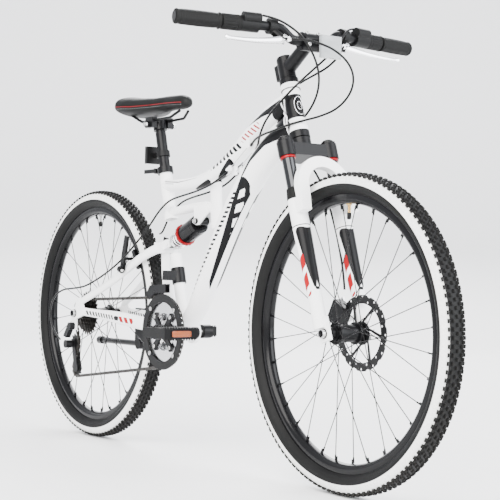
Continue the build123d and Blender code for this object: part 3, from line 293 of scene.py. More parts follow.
def hexagon_bolt(origin: Array, axis: Array, across: float, height: float, domed: float = 0.0) -> Surface:
    """Makes a six-sided nut or bolt head with chamfered corners.

    Args:
        origin: the middle of its foot.
        axis: the way it points.
        across: its width across the corners.
        height: its height.
        domed: how much farther a round end stands out of it.

    Returns:
        A closed surface.
    """
    radius = across / 2
    rows = np.array([[0, radius], [height * 0.75, radius], [height, radius * 0.86]])
    nut = spun(rows, origin, axis, steps=6)
    if not domed:
        return nut
    cap = np.array([[height * 0.6, radius * 0.55], [height + domed * 0.6, radius * 0.55],
                    [height + domed, radius * 0.3]])
    return nut.joined(spun(cap, origin, axis, steps=20))


def smooth_line(points: Array, name: str) -> Array:
    """Reads the points of the NURBS spline whose control points are a route.

    Args:
        points: the route, in metres.
        name: a name for the curve while it exists.

    Returns:
        Points along the spline.
    """
    curve = bpy.data.curves.new(name + "_route", "CURVE")
    curve.dimensions = "3D"
    spline = curve.splines.new("NURBS")
    spline.points.add(len(points) - 1)
    spline.points.foreach_set("co", np.column_stack([points, np.ones(len(points))]).ravel())
    spline.order_u = 3
    spline.use_endpoint_u = True
    spline.resolution_u = 6
    holder = bpy.data.objects.new(name + "_route", curve)
    bpy.context.scene.collection.objects.link(holder)
    bpy.context.view_layer.update()
    mesh = bpy.data.meshes.new_from_object(holder.evaluated_get(bpy.context.evaluated_depsgraph_get()))
    line = np.zeros(len(mesh.vertices) * 3)
    mesh.vertices.foreach_get("co", line)
    bpy.data.objects.remove(holder)
    bpy.data.curves.remove(curve)
    bpy.data.meshes.remove(mesh)
    line = line.reshape(-1, 3)
    step = np.linalg.norm(np.diff(line, axis=0), axis=1)
    return line[np.concatenate([[True], step > 1e-5])]


# ---- shader groups ----
def new_group(name: str, inputs: list[tuple[str, str, float | Point]],
              outputs: list[tuple[str, str]]) -> tuple:
    """Starts a shader node group.

    Args:
        name: the group's name.
        inputs: name, socket type and starting value of each input.
        outputs: name and socket type of each output.

    Returns:
        The group, its input node and its output node.
    """
    group = bpy.data.node_groups.new(name, "ShaderNodeTree")
    for label, kind, value in inputs:
        socket = group.interface.new_socket(name=label, in_out="INPUT", socket_type=kind)
        socket.default_value = value
    for label, kind in outputs:
        group.interface.new_socket(name=label, in_out="OUTPUT", socket_type=kind)
    return group, group.nodes.new("NodeGroupInput"), group.nodes.new("NodeGroupOutput")


class Wiring:
    """Adds nodes to a tree and joins them."""

    def __init__(self, tree: bpy.types.NodeTree) -> None:
        """Keeps the tree."""
        self.tree = tree

    def plug(self, value: object, socket: bpy.types.NodeSocket) -> None:
        """Joins an output to a socket, or sets the socket to a number or colour."""
        if isinstance(value, bpy.types.NodeSocket):
            self.tree.links.new(value, socket)
        elif value is not None:
            socket.default_value = value

    def sum(self, operation: str, *values: object, clamp: bool = False) -> bpy.types.NodeSocket:
        """Adds a Math node.

        Args:
            operation: the node's operation.
            values: outputs or numbers for its inputs.
            clamp: the result is kept from nought to one.

        Returns:
            Its output.
        """
        node = self.tree.nodes.new("ShaderNodeMath")
        node.operation = operation
        node.use_clamp = clamp
        for value, socket in zip(values, node.inputs):
            self.plug(value, socket)
        return node.outputs[0]

    def vector(self, operation: str, *values: object, result: str = "Vector") -> bpy.types.NodeSocket:
        """Adds a Vector Math node and gives one of its outputs."""
        node = self.tree.nodes.new("ShaderNodeVectorMath")
        node.operation = operation
        for value, socket in zip(values, node.inputs):
            self.plug(value, socket)
        return node.outputs[result]

    def blend(self, mask: object, first: object, second: object) -> bpy.types.NodeSocket:
        """Mixes two colours by a mask and gives the result."""
        node = self.tree.nodes.new("ShaderNodeMix")
        node.data_type = "RGBA"
        self.plug(mask, node.inputs[0])
        self.plug(first if not isinstance(first, tuple) else (*first, 1.0), node.inputs[6])
        self.plug(second if not isinstance(second, tuple) else (*second, 1.0), node.inputs[7])
        return node.outputs[2]

    def between(self, value: object, low: float, high: float, soft: float) -> bpy.types.NodeSocket:
        """Gives one where a value lies between two numbers, with a soft edge."""
        rise = self.sum("DIVIDE", self.sum("SUBTRACT", value, low), soft, clamp=True)
        fall = self.sum("DIVIDE", self.sum("SUBTRACT", high, value), soft, clamp=True)
        return self.sum("MULTIPLY", rise, fall)

    def noise(self, vector: object, scale: object, detail: float = 3.0) -> bpy.types.NodeSocket:
        """Adds a Noise Texture and gives its value."""
        node = self.tree.nodes.new("ShaderNodeTexNoise")
        self.plug(vector, node.inputs["Vector"])
        self.plug(scale, node.inputs["Scale"])
        node.inputs["Detail"].default_value = detail
        return node.outputs[0]

    def use(self, group: bpy.types.NodeTree, **values: object) -> bpy.types.Node:
        """Adds a group node and fills its inputs by name, with _ for a space."""
        node = self.tree.nodes.new("ShaderNodeGroup")
        node.node_tree = group
        for label, value in values.items():
            self.plug(value, node.inputs[label.replace("_", " ")])
        return node


def grain_group() -> bpy.types.NodeTree:
    """Builds the group for the fine, uneven grain that every finish has: broad clouds and small pits."""
    group, into, out = new_group(
        "surface_grain",
        [("Vector", "NodeSocketVector", (0, 0, 0)), ("Scale", "NodeSocketFloat", 400.0),
         ("Cloud", "NodeSocketFloat", 14.0)],
        [("Cloud", "NodeSocketFloat"), ("Pits", "NodeSocketFloat"), ("Scuffs", "NodeSocketFloat")],
    )
    wire = Wiring(group)
    wire.plug(wire.noise(into.outputs["Vector"], into.outputs["Cloud"]), out.inputs["Cloud"])
    wire.plug(wire.noise(into.outputs["Vector"], into.outputs["Scale"], 2.0), out.inputs["Pits"])
    stretched = wire.vector("MULTIPLY", into.outputs["Vector"], (1.0, 1.0, 6.0))
    streak = wire.noise(stretched, wire.sum("MULTIPLY", into.outputs["Scale"], 0.3), 6.0)
    wire.plug(wire.sum("MULTIPLY", wire.sum("SUBTRACT", streak, 0.62, clamp=True), 5.0, clamp=True),
              out.inputs["Scuffs"])
    return group


def stripe_group() -> bpy.types.NodeTree:
    """Builds the group for a painted stripe with round ends, seen square to the middle plane.

    Along is how far a point is from the start to the end, across how far it is from the line
    between them, and the mask is one where the distance to the line is under the half width.
    """
    group, into, out = new_group(
        "painted_stripe",
        [
            ("Vector", "NodeSocketVector", (0, 0, 0)),
            ("Start", "NodeSocketVector", (0, 0, 0)),
            ("Heading", "NodeSocketVector", (1, 0, 0)),
            ("Length", "NodeSocketFloat", 0.1),
            ("Wide", "NodeSocketFloat", 0.01),
            ("Narrow", "NodeSocketFloat", 0.01),
            ("Hatch", "NodeSocketFloat", 0.0),
            ("Lean", "NodeSocketFloat", 0.0),
            ("Share", "NodeSocketFloat", 1.0),
        ],
        [("Mask", "NodeSocketFloat"), ("Along", "NodeSocketFloat"), ("Across", "NodeSocketFloat")],
    )
    wire = Wiring(group)
    flat = wire.vector("MULTIPLY", into.outputs["Vector"], (1.0, 0.0, 1.0))
    away = wire.vector("SUBTRACT", flat, into.outputs["Start"])
    run = wire.vector("DOT_PRODUCT", away, into.outputs["Heading"], result="Value")
    share = wire.sum("DIVIDE", run, into.outputs["Length"], clamp=True)
    nearest = wire.vector("SCALE", into.outputs["Heading"])
    scale = nearest.node.inputs["Scale"]
    wire.plug(wire.sum("MULTIPLY", share, into.outputs["Length"]), scale)
    gap = wire.vector("LENGTH", wire.vector("SUBTRACT", away, nearest), result="Value")
    normal = wire.vector("CROSS_PRODUCT", into.outputs["Heading"], (0.0, 1.0, 0.0))
    across = wire.vector("DOT_PRODUCT", away, normal, result="Value")
    half = wire.sum("ADD", into.outputs["Wide"], wire.sum(
        "MULTIPLY", share, wire.sum("SUBTRACT", into.outputs["Narrow"], into.outputs["Wide"])))
    inside = wire.sum("MULTIPLY", wire.sum("SUBTRACT", half, gap), 4000.0, clamp=True)
    phase = wire.sum("FRACT", wire.sum("ADD", wire.sum(
        "MULTIPLY", wire.sum("ADD", run, wire.sum("MULTIPLY", across, into.outputs["Lean"])),
        into.outputs["Hatch"]), 50.0))
    bar = wire.sum("LESS_THAN", phase, into.outputs["Share"])
    wire.plug(wire.sum("MULTIPLY", inside, bar), out.inputs["Mask"])
    wire.plug(share, out.inputs["Along"])
    wire.plug(across, out.inputs["Across"])
    return group


def dust_group() -> bpy.types.NodeTree:
    """Builds the group for road dust: patchy, and thicker low down."""
    group, into, out = new_group(
        "road_dust",
        [("Vector", "NodeSocketVector", (0, 0, 0)), ("Height", "NodeSocketFloat", 0.4),
         ("Amount", "NodeSocketFloat", 0.3)],
        [("Mask", "NodeSocketFloat")],
    )
    wire = Wiring(group)
    split = group.nodes.new("ShaderNodeSeparateXYZ")
    wire.plug(into.outputs["Vector"], split.inputs[0])
    low = wire.sum("SUBTRACT", 1.0, wire.sum("DIVIDE", split.outputs["Z"], into.outputs["Height"]),
                   clamp=True)
    patch = wire.noise(into.outputs["Vector"], 30.0, 6.0)
    wire.plug(wire.sum("MULTIPLY", wire.sum("MULTIPLY", wire.sum("ADD", low, 0.15), patch),
                       into.outputs["Amount"], clamp=True),
              out.inputs["Mask"])
    return group


GRAIN = grain_group()
STRIPE = stripe_group()
DUST = dust_group()


def bare_material(name: str) -> tuple[bpy.types.Material, Wiring, bpy.types.Node, bpy.types.NodeSocket]:
    """Starts a material.

    Args:
        name: the material's name.

    Returns:
        The material, its wiring, its Principled shader and its Object coordinates.
    """
    material = bpy.data.materials.new(name)
    material.use_nodes = True
    shader = material.node_tree.nodes["Principled BSDF"]
    place = material.node_tree.nodes.new("ShaderNodeTexCoord").outputs["Object"]
    return material, Wiring(material.node_tree), shader, place


# ---- finishes ----
@dataclass(frozen=True)
class Finish:
    """A plain finish: its colour, how it shines, and its grain."""

    name: str
    colour: Colour
    worn: Colour
    rough: float = 0.4
    rough_spread: float = 0.15
    metallic: float = 0.0
    coat: float = 0.0
    grain: float = 600.0
    bump: float = 0.05
    dust: float = 0.0
    ribs: float = 0.0
    specular: float = 0.5

    def base(self, wire: Wiring, place: bpy.types.NodeSocket, grain: bpy.types.Node) -> bpy.types.NodeSocket:
        """Gives the colour before dust: the clean one, clouded with the worn one, and scuffed."""
        cloud = wire.sum("MULTIPLY", grain.outputs["Cloud"], 0.45)
        return wire.blend(wire.sum("ADD", cloud, wire.sum("MULTIPLY", grain.outputs["Scuffs"], 0.25),
                                   clamp=True),
                          self.colour, self.worn)

    def height(self, wire: Wiring, place: bpy.types.NodeSocket,
               grain: bpy.types.Node) -> bpy.types.NodeSocket:
        """Gives the height that the bump reads."""
        return grain.outputs["Pits"]

    def build(self) -> bpy.types.Material:
        """Makes the material."""
        material, wire, shader, place = bare_material(self.name)
        grain = wire.use(GRAIN, Vector=place, Scale=self.grain, Cloud=18.0)
        colour = self.base(wire, place, grain)
        if self.dust:
            dust = wire.use(DUST, Vector=place, Amount=self.dust)
            colour = wire.blend(dust.outputs["Mask"], colour, (0.32, 0.29, 0.25))
        wire.plug(colour, shader.inputs["Base Color"])
        rough = wire.sum("ADD", wire.sum("MULTIPLY", grain.outputs["Cloud"], self.rough_spread),
                         self.rough - self.rough_spread / 2)
        wire.plug(rough, shader.inputs["Roughness"])
        bump = material.node_tree.nodes.new("ShaderNodeBump")
        bump.inputs["Strength"].default_value = self.bump
        bump.inputs["Distance"].default_value = 0.0004
        wire.plug(self.height(wire, place, grain), bump.inputs["Height"])
        wire.plug(bump.outputs[0], shader.inputs["Normal"])
        shader.inputs["Metallic"].default_value = self.metallic
        shader.inputs["Coat Weight"].default_value = self.coat
        shader.inputs["Specular IOR Level"].default_value = self.specular
        shader.inputs["Coat Roughness"].default_value = 0.06
        return material


@dataclass(frozen=True)
class Stripe:
    """One painted mark, as a line on the middle plane with round ends."""

    start: tuple[float, float]
    end: tuple[float, float]
    wide: float
    narrow: float
    colour: Colour
    hatch: float = 0.0
    lean: float = 0.0
    share: float = 1.0
    beyond: float = 0.0

    def over(self, wire: Wiring, place: bpy.types.NodeSocket, colour: object) -> bpy.types.NodeSocket:
        """Paints the mark over a colour.

        Args:
            wire: the material's wiring.
            place: the Object coordinates.
            colour: what it is painted on.

        Returns:
            The colour with the mark on it.
        """
        run = (self.end[0] - self.start[0], self.end[1] - self.start[1])
        length = math.hypot(*run)
        node = wire.use(
            STRIPE, Vector=place, Start=(self.start[0], 0.0, self.start[1]),
            Heading=(run[0] / length, 0.0, run[1] / length), Length=length,
            Wide=self.wide, Narrow=self.narrow, Hatch=self.hatch, Lean=self.lean, Share=self.share,
        )
        mask = node.outputs["Mask"]
        if self.beyond:
            split = wire.tree.nodes.new("ShaderNodeSeparateXYZ")
            wire.plug(place, split.inputs[0])
            mask = wire.sum("MULTIPLY", mask, wire.sum("GREATER_THAN",
                                                       wire.sum("ABSOLUTE", split.outputs["Y"]), self.beyond))
        return wire.blend(mask, colour, self.colour)


@dataclass(frozen=True)
class MarkedPaint(Finish):
    """Gloss paint with its painted marks under the lacquer."""

    marks: tuple[Stripe, ...] = ()

    def base(self, wire: Wiring, place: bpy.types.NodeSocket, grain: bpy.types.Node) -> bpy.types.NodeSocket:
        """Gives the paint with each mark laid over it in order."""
        colour = wire.blend(wire.sum("MULTIPLY", grain.outputs["Cloud"], 0.5), self.colour, self.worn)
        for mark in self.marks:
            colour = mark.over(wire, place, colour)
        return colour


@dataclass(frozen=True)
class SidewallRubber(Finish):
    """Black casing rubber with a pale band on each sidewall, ribbed round the wheel."""

    centre: tuple[float, float] = FRONT_HUB
    band: tuple[float, float] = (0.3095, 0.3272)

    def reach(self, wire: Wiring, place: bpy.types.NodeSocket) -> bpy.types.NodeSocket:
        """Gives each point's distance from the axle."""
        away = wire.vector("SUBTRACT", place, (self.centre[0], 0.0, self.centre[1]))
        return wire.vector("LENGTH", wire.vector("MULTIPLY", away, (1.0, 0.0, 1.0)), result="Value")

    def base(self, wire: Wiring, place: bpy.types.NodeSocket, grain: bpy.types.Node) -> bpy.types.NodeSocket:
        """Gives black rubber with a soiled pale band."""
        mask = wire.between(self.reach(wire, place), *self.band, 0.0006)
        rubber = wire.blend(grain.outputs["Cloud"], self.colour, self.worn)
        speck = wire.noise(place, 260.0, 6.0)
        soil = wire.sum("MULTIPLY", wire.sum("SUBTRACT", speck, 0.36, clamp=True), 1.5, clamp=True)
        pale = wire.blend(soil, (0.88, 0.88, 0.86), (0.55, 0.55, 0.54))
        return wire.blend(mask, rubber, pale)

    def height(self, wire: Wiring, place: bpy.types.NodeSocket,
               grain: bpy.types.Node) -> bpy.types.NodeSocket:
        """Gives fine ribs round the wheel, over the grain."""
        ribs = wire.sum("SINE", wire.sum("MULTIPLY", self.reach(wire, place), 4200.0))
        return wire.sum("ADD", wire.sum("MULTIPLY", ribs, 0.35), grain.outputs["Pits"])


@dataclass(frozen=True)
class StitchedCover(Finish):
    """A matt synthetic cover with an embossed leather grain."""

    def height(self, wire: Wiring, place: bpy.types.NodeSocket,
               grain: bpy.types.Node) -> bpy.types.NodeSocket:
        """Gives the cells of an embossed grain, over the pits."""
        cells = wire.tree.nodes.new("ShaderNodeTexVoronoi")
        cells.inputs["Scale"].default_value = 620.0
        wire.plug(place, cells.inputs["Vector"])
        return wire.sum("ADD", cells.outputs["Distance"], wire.sum("MULTIPLY", grain.outputs["Pits"], 0.4))


@dataclass(frozen=True)
class Lens:
    """A clear moulded lens with a field of tiny prisms, bumped and given painted facet shade: half the cells
    are painted a darker copy of the colour.
    """

    name: str
    colour: Colour
    # The darker copy of the colour, painted on the prism cells as facet shade.
    facet_shade: Colour
    transmission: float = 0.35
    pitch: float = 2200.0

    def build(self) -> bpy.types.Material:
        """Makes the material."""
        material, wire, shader, place = bare_material(self.name)
        split = material.node_tree.nodes.new("ShaderNodeSeparateXYZ")
        wire.plug(place, split.inputs[0])
        across = wire.sum("SINE", wire.sum("MULTIPLY", split.outputs["Y"], self.pitch))
        up = wire.sum("SINE", wire.sum("MULTIPLY", split.outputs["Z"], self.pitch))
        prism = wire.sum("MULTIPLY", across, up)
        # Painted facet shade: the prism pattern swings the base colour between the lit lens colour and its
        # darker painted copy.
        wire.plug(wire.blend(wire.sum("ADD", wire.sum("MULTIPLY", prism, 0.5), 0.5), self.colour, self.facet_shade),
                  shader.inputs["Base Color"])
        bump = material.node_tree.nodes.new("ShaderNodeBump")
        bump.inputs["Strength"].default_value = 0.6
        bump.inputs["Distance"].default_value = 0.0006
        wire.plug(prism, bump.inputs["Height"])
        wire.plug(bump.outputs[0], shader.inputs["Normal"])
        wire.plug(wire.sum("ADD", wire.sum("MULTIPLY", wire.noise(place, 90.0), 0.12), 0.06),
                  shader.inputs["Roughness"])
        shader.inputs["Transmission Weight"].default_value = self.transmission
        shader.inputs["Coat Weight"].default_value = 0.5
        return material


INK: Colour = (0.003, 0.003, 0.0035)
SILVER_INK: Colour = (0.42, 0.43, 0.45)
RED_INK: Colour = (0.26, 0.002, 0.006)
PALE: Colour = (0.90, 0.90, 0.90)
PEARL: Colour = (0.83, 0.83, 0.835)


def across_fork(forward: float, up: float) -> tuple[float, float]:
    """Gives x and z of a place on the fork's own axes."""
    place = fork_place(forward, 0.0, up)
    return float(place[0]), float(place[2])


FRAME_MARKS = (
    Stripe(across_fork(-0.060, 0.521), across_fork(0.020, 0.521), 0.0275, 0.0275, INK),
    Stripe((0.330, 0.834), (0.245, 0.812), 0.012, 0.006, INK),
    Stripe((0.245, 0.812), (0.180, 0.788), 0.006, 0.0006, INK),
    Stripe((0.340, 0.775), (0.262, 0.750), 0.016, 0.011, INK),
    Stripe((0.262, 0.750), (0.212, 0.712), 0.011, 0.006, INK),
    Stripe((0.212, 0.712), (0.170, 0.655), 0.006, 0.0006, INK),
    Stripe(across_fork(-0.0445, 0.556), across_fork(-0.0445, 0.486), 0.0022, 0.0022, PALE),
    Stripe((0.190, 0.659), (0.050, 0.425), 0.0150, 0.0150, INK, beyond=0.009),
    Stripe((0.050, 0.425), (-0.004, 0.338), 0.0150, 0.0006, INK, beyond=0.009),
    Stripe((0.184, 0.646), (0.0590, 0.4365), 0.0056, 0.0062, PALE, hatch=27.0, lean=1.3, share=0.60,
           beyond=0.012),
    Stripe((0.160, 0.640), (-0.030, 0.400), 0.0060, 0.0045, INK, hatch=74.0, lean=0.7, share=0.52,
           beyond=0.006),
    Stripe((0.040, 0.704), (0.156, 0.748), 0.0085, 0.0085, INK, hatch=60.0, lean=0.6, share=0.55,
           beyond=0.006),
    Stripe((0.172, 0.762), (0.226, 0.788), 0.0085, 0.0085, RED_INK, hatch=75.0, lean=0.7, share=0.40,
           beyond=0.006),
    Stripe((0.115, 0.712), (0.045, 0.668), 0.0085, 0.0015, INK),
    Stripe((0.022, 0.6700), (-0.045, 0.6550), 0.0065, 0.0010, INK),
    Stripe((-0.182, 0.6790), (-0.115, 0.6745), 0.0012, 0.0012, INK),
    Stripe((-0.115, 0.6745), (-0.030, 0.6820), 0.0012, 0.0004, INK),
    Stripe((-0.175, 0.6735), (-0.135, 0.6710), 0.0014, 0.0014, SILVER_INK),
)
FORK_MARKS = (
    Stripe(across_fork(0.003, 0.222), across_fork(0.0070, 0.094), 0.0105, 0.0006, INK, beyond=0.036),
    Stripe(across_fork(-0.0075, 0.170), across_fork(-0.0080, 0.090), 0.0078, 0.0078, RED_INK, hatch=24.0,
           lean=0.9, share=0.68, beyond=0.036),
)
ARM_MARKS = (
    Stripe((-0.480, 0.3385), (-0.348, 0.3312), 0.0058, 0.0058, INK, hatch=72.0, lean=0.6, share=0.58,
           beyond=0.03),
    Stripe((-0.336, 0.3300), (-0.326, 0.3295), 0.0060, 0.0060, INK, beyond=0.03),
    Stripe((-0.316, 0.3280), (-0.264, 0.3245), 0.0072, 0.0072, RED_INK, hatch=44.0, lean=0.6, share=0.62,
           beyond=0.03),
)


class Finishes:
    """Every material of the bike, built once."""

    def __init__(self) -> None:
        """Builds them."""
        self.frame = MarkedPaint("white_frame_lacquer", PALE, PEARL, 0.30, 0.08, specular=0.10, grain=900,
                                 bump=0.02, marks=FRAME_MARKS).build()
        self.fork = MarkedPaint("white_fork_lacquer", PALE, PEARL, 0.30, 0.08, specular=0.10, grain=900,
                                bump=0.02, dust=0.03, marks=FORK_MARKS).build()
        self.arm = MarkedPaint("white_swingarm_lacquer", PALE, PEARL, 0.30, 0.08, specular=0.10, grain=900,
                               bump=0.02, dust=0.03, marks=ARM_MARKS).build()
        self.weld = Finish("painted_weld", PALE, (0.6, 0.6, 0.6), 0.26, 0.1, coat=0.7, grain=500,
                           bump=0.2).build()
        self.black = Finish("satin_black_enamel", (0.003, 0.003, 0.0035), (0.008, 0.008, 0.0085), 0.30, 0.14,
                            specular=0.12, grain=700, bump=0.12).build()
        self.gloss_black = Finish("gloss_black_anodising", (0.0022, 0.0022, 0.0026), (0.005, 0.005, 0.0055),
                                  0.20, 0.12, specular=0.14, grain=900, bump=0.03).build()
        self.plastic = Finish("moulded_black_plastic", (0.003, 0.003, 0.003), (0.009, 0.009, 0.0095), 0.44,
                              0.16, specular=0.12, grain=1400, bump=0.25).build()
        self.rubber = Finish("soft_black_rubber", (0.0035, 0.0035, 0.0035), (0.010, 0.010, 0.0095), 0.64,
                             0.14, specular=0.12, grain=1500, bump=0.35).build()
        self.cable = Finish("cable_jacket", (0.005, 0.005, 0.005), (0.012, 0.012, 0.012), 0.34, 0.1,
                            specular=0.15, grain=1500, bump=0.08).build()
        self.tread = Finish("tread_rubber", (0.004, 0.004, 0.004), (0.012, 0.012, 0.012), 0.74, 0.16,
                            specular=0.15, grain=900, bump=0.5, dust=0.03).build()
        self.steel = Finish("bright_steel", (0.55, 0.55, 0.55), (0.38, 0.37, 0.36), 0.26, 0.2, metallic=1.0,
                            grain=1200, bump=0.08).build()
        self.polished = Finish("polished_alloy", (0.78, 0.78, 0.79), (0.6, 0.6, 0.61), 0.22, 0.16,
                               metallic=1.0, grain=1100, bump=0.06).build()
        self.smoked = Finish("smoked_chrome", (0.035, 0.036, 0.038), (0.07, 0.07, 0.07), 0.14, 0.1,
                             metallic=1.0, grain=1400, bump=0.02).build()
        self.oiled = Finish("oiled_steel", (0.030, 0.027, 0.024), (0.012, 0.011, 0.010), 0.36, 0.2,
                            metallic=0.7, grain=900, bump=0.15).build()
        self.brass = Finish("yellow_brass", (0.75, 0.52, 0.22), (0.5, 0.34, 0.14), 0.26, 0.2, metallic=1.0,
                            grain=1200, bump=0.06).build()
        self.red = Finish("red_anodising", (0.24, 0.003, 0.007), (0.16, 0.003, 0.005), 0.30, 0.1,
                          metallic=0.3, specular=0.2, grain=900, bump=0.04).build()
        self.rotor = Finish("blackened_steel", (0.004, 0.004, 0.0045), (0.014, 0.014, 0.014), 0.35, 0.2,
                            specular=0.18, grain=800, bump=0.1).build()
        self.cover = StitchedCover("saddle_cover", (0.003, 0.003, 0.003), (0.009, 0.009, 0.009), 0.5, 0.15,
                                   specular=0.12, grain=900, bump=0.5).build()
        self.thread = Finish("grey_thread", (0.3, 0.3, 0.3), (0.2, 0.2, 0.2), 0.8, 0.1, grain=2500,
                             bump=0.4).build()
        # Each lens's second colour is the darker copy painted on the prism cells as facet shade.
        self.amber = Lens("amber_lens", (0.50, 0.10, 0.003), (0.26, 0.04, 0.0)).build()
        self.clear = Lens("clear_lens", (0.55, 0.57, 0.58), (0.30, 0.32, 0.33), 0.45).build()
        self.ruby = Lens("ruby_lens", (0.42, 0.006, 0.012), (0.16, 0.0, 0.004), 0.25).build()
        self.front_wall = SidewallRubber("front_casing", (0.0025, 0.0025, 0.0025), (0.007, 0.007, 0.007),
                                         0.55, 0.15, grain=900, bump=0.5, specular=0.12,
                                         centre=FRONT_HUB).build()
        self.rear_wall = SidewallRubber("rear_casing", (0.0025, 0.0025, 0.0025), (0.007, 0.007, 0.007), 0.55,
                                        0.15, grain=900, bump=0.5, specular=0.12, centre=REAR_HUB).build()


def dress_frame_nodes(finishes: Finishes) -> None:
    """Gives every carried-over CAD node its finish."""
    table = {
        finishes.frame: ("main_frame",),
        finishes.fork: ("fork_lowers",),
        finishes.arm: ("swingarm",),
        finishes.black: (
            "bearing_cups", "frame_clamps", "seat_clamp_lever", "front_derailleur_cage", "fork_crown",
            "disc_caliper",
            "stem", "handlebar", "seatpost", "saddle_rails", "kickstand_bracket", "kickstand_leg",
            "left_v_brake_arm",
            "right_v_brake_arm", "right_crank", "left_crank", "rear_derailleur_body", "derailleur_knuckle",
            "derailleur_cage", "front_hub", "rear_hub",
        ),
        finishes.gloss_black: ("shock_body", "front_rim", "rear_rim", "front_spokes", "rear_spokes"),
        finishes.plastic: ("control_pods", "chain_guard", "guide_pulley", "tension_pulley", "right_pedal",
                           "left_pedal", "rear_reflector"),
        finishes.rubber: ("fork_dust_seals", "handlebar_grips", "right_twist_grip", "left_twist_grip"),
        finishes.cable: ("front_housings", "front_brake_housing", "rear_housings"),
        finishes.steel: ("front_axle", "rear_axle", "caliper_arm", "crank_spindles"),
        finishes.smoked: ("fork_stanchions", "shock_shaft"),
        finishes.polished: ("chainrings", "right_brake_lever", "left_brake_lever", "shock_spring"),
        finishes.oiled: ("freewheel", "chain"),
        finishes.rotor: ("brake_rotor",),
        finishes.clear: ("front_reflector",),
        finishes.cover: ("saddle",),
        finishes.tread: ("front_tyre", "rear_tyre"),
    }
    for finish, names in table.items():
        for name in names:
            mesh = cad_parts[name].data
            mesh.materials.clear()
            mesh.materials.append(finish)


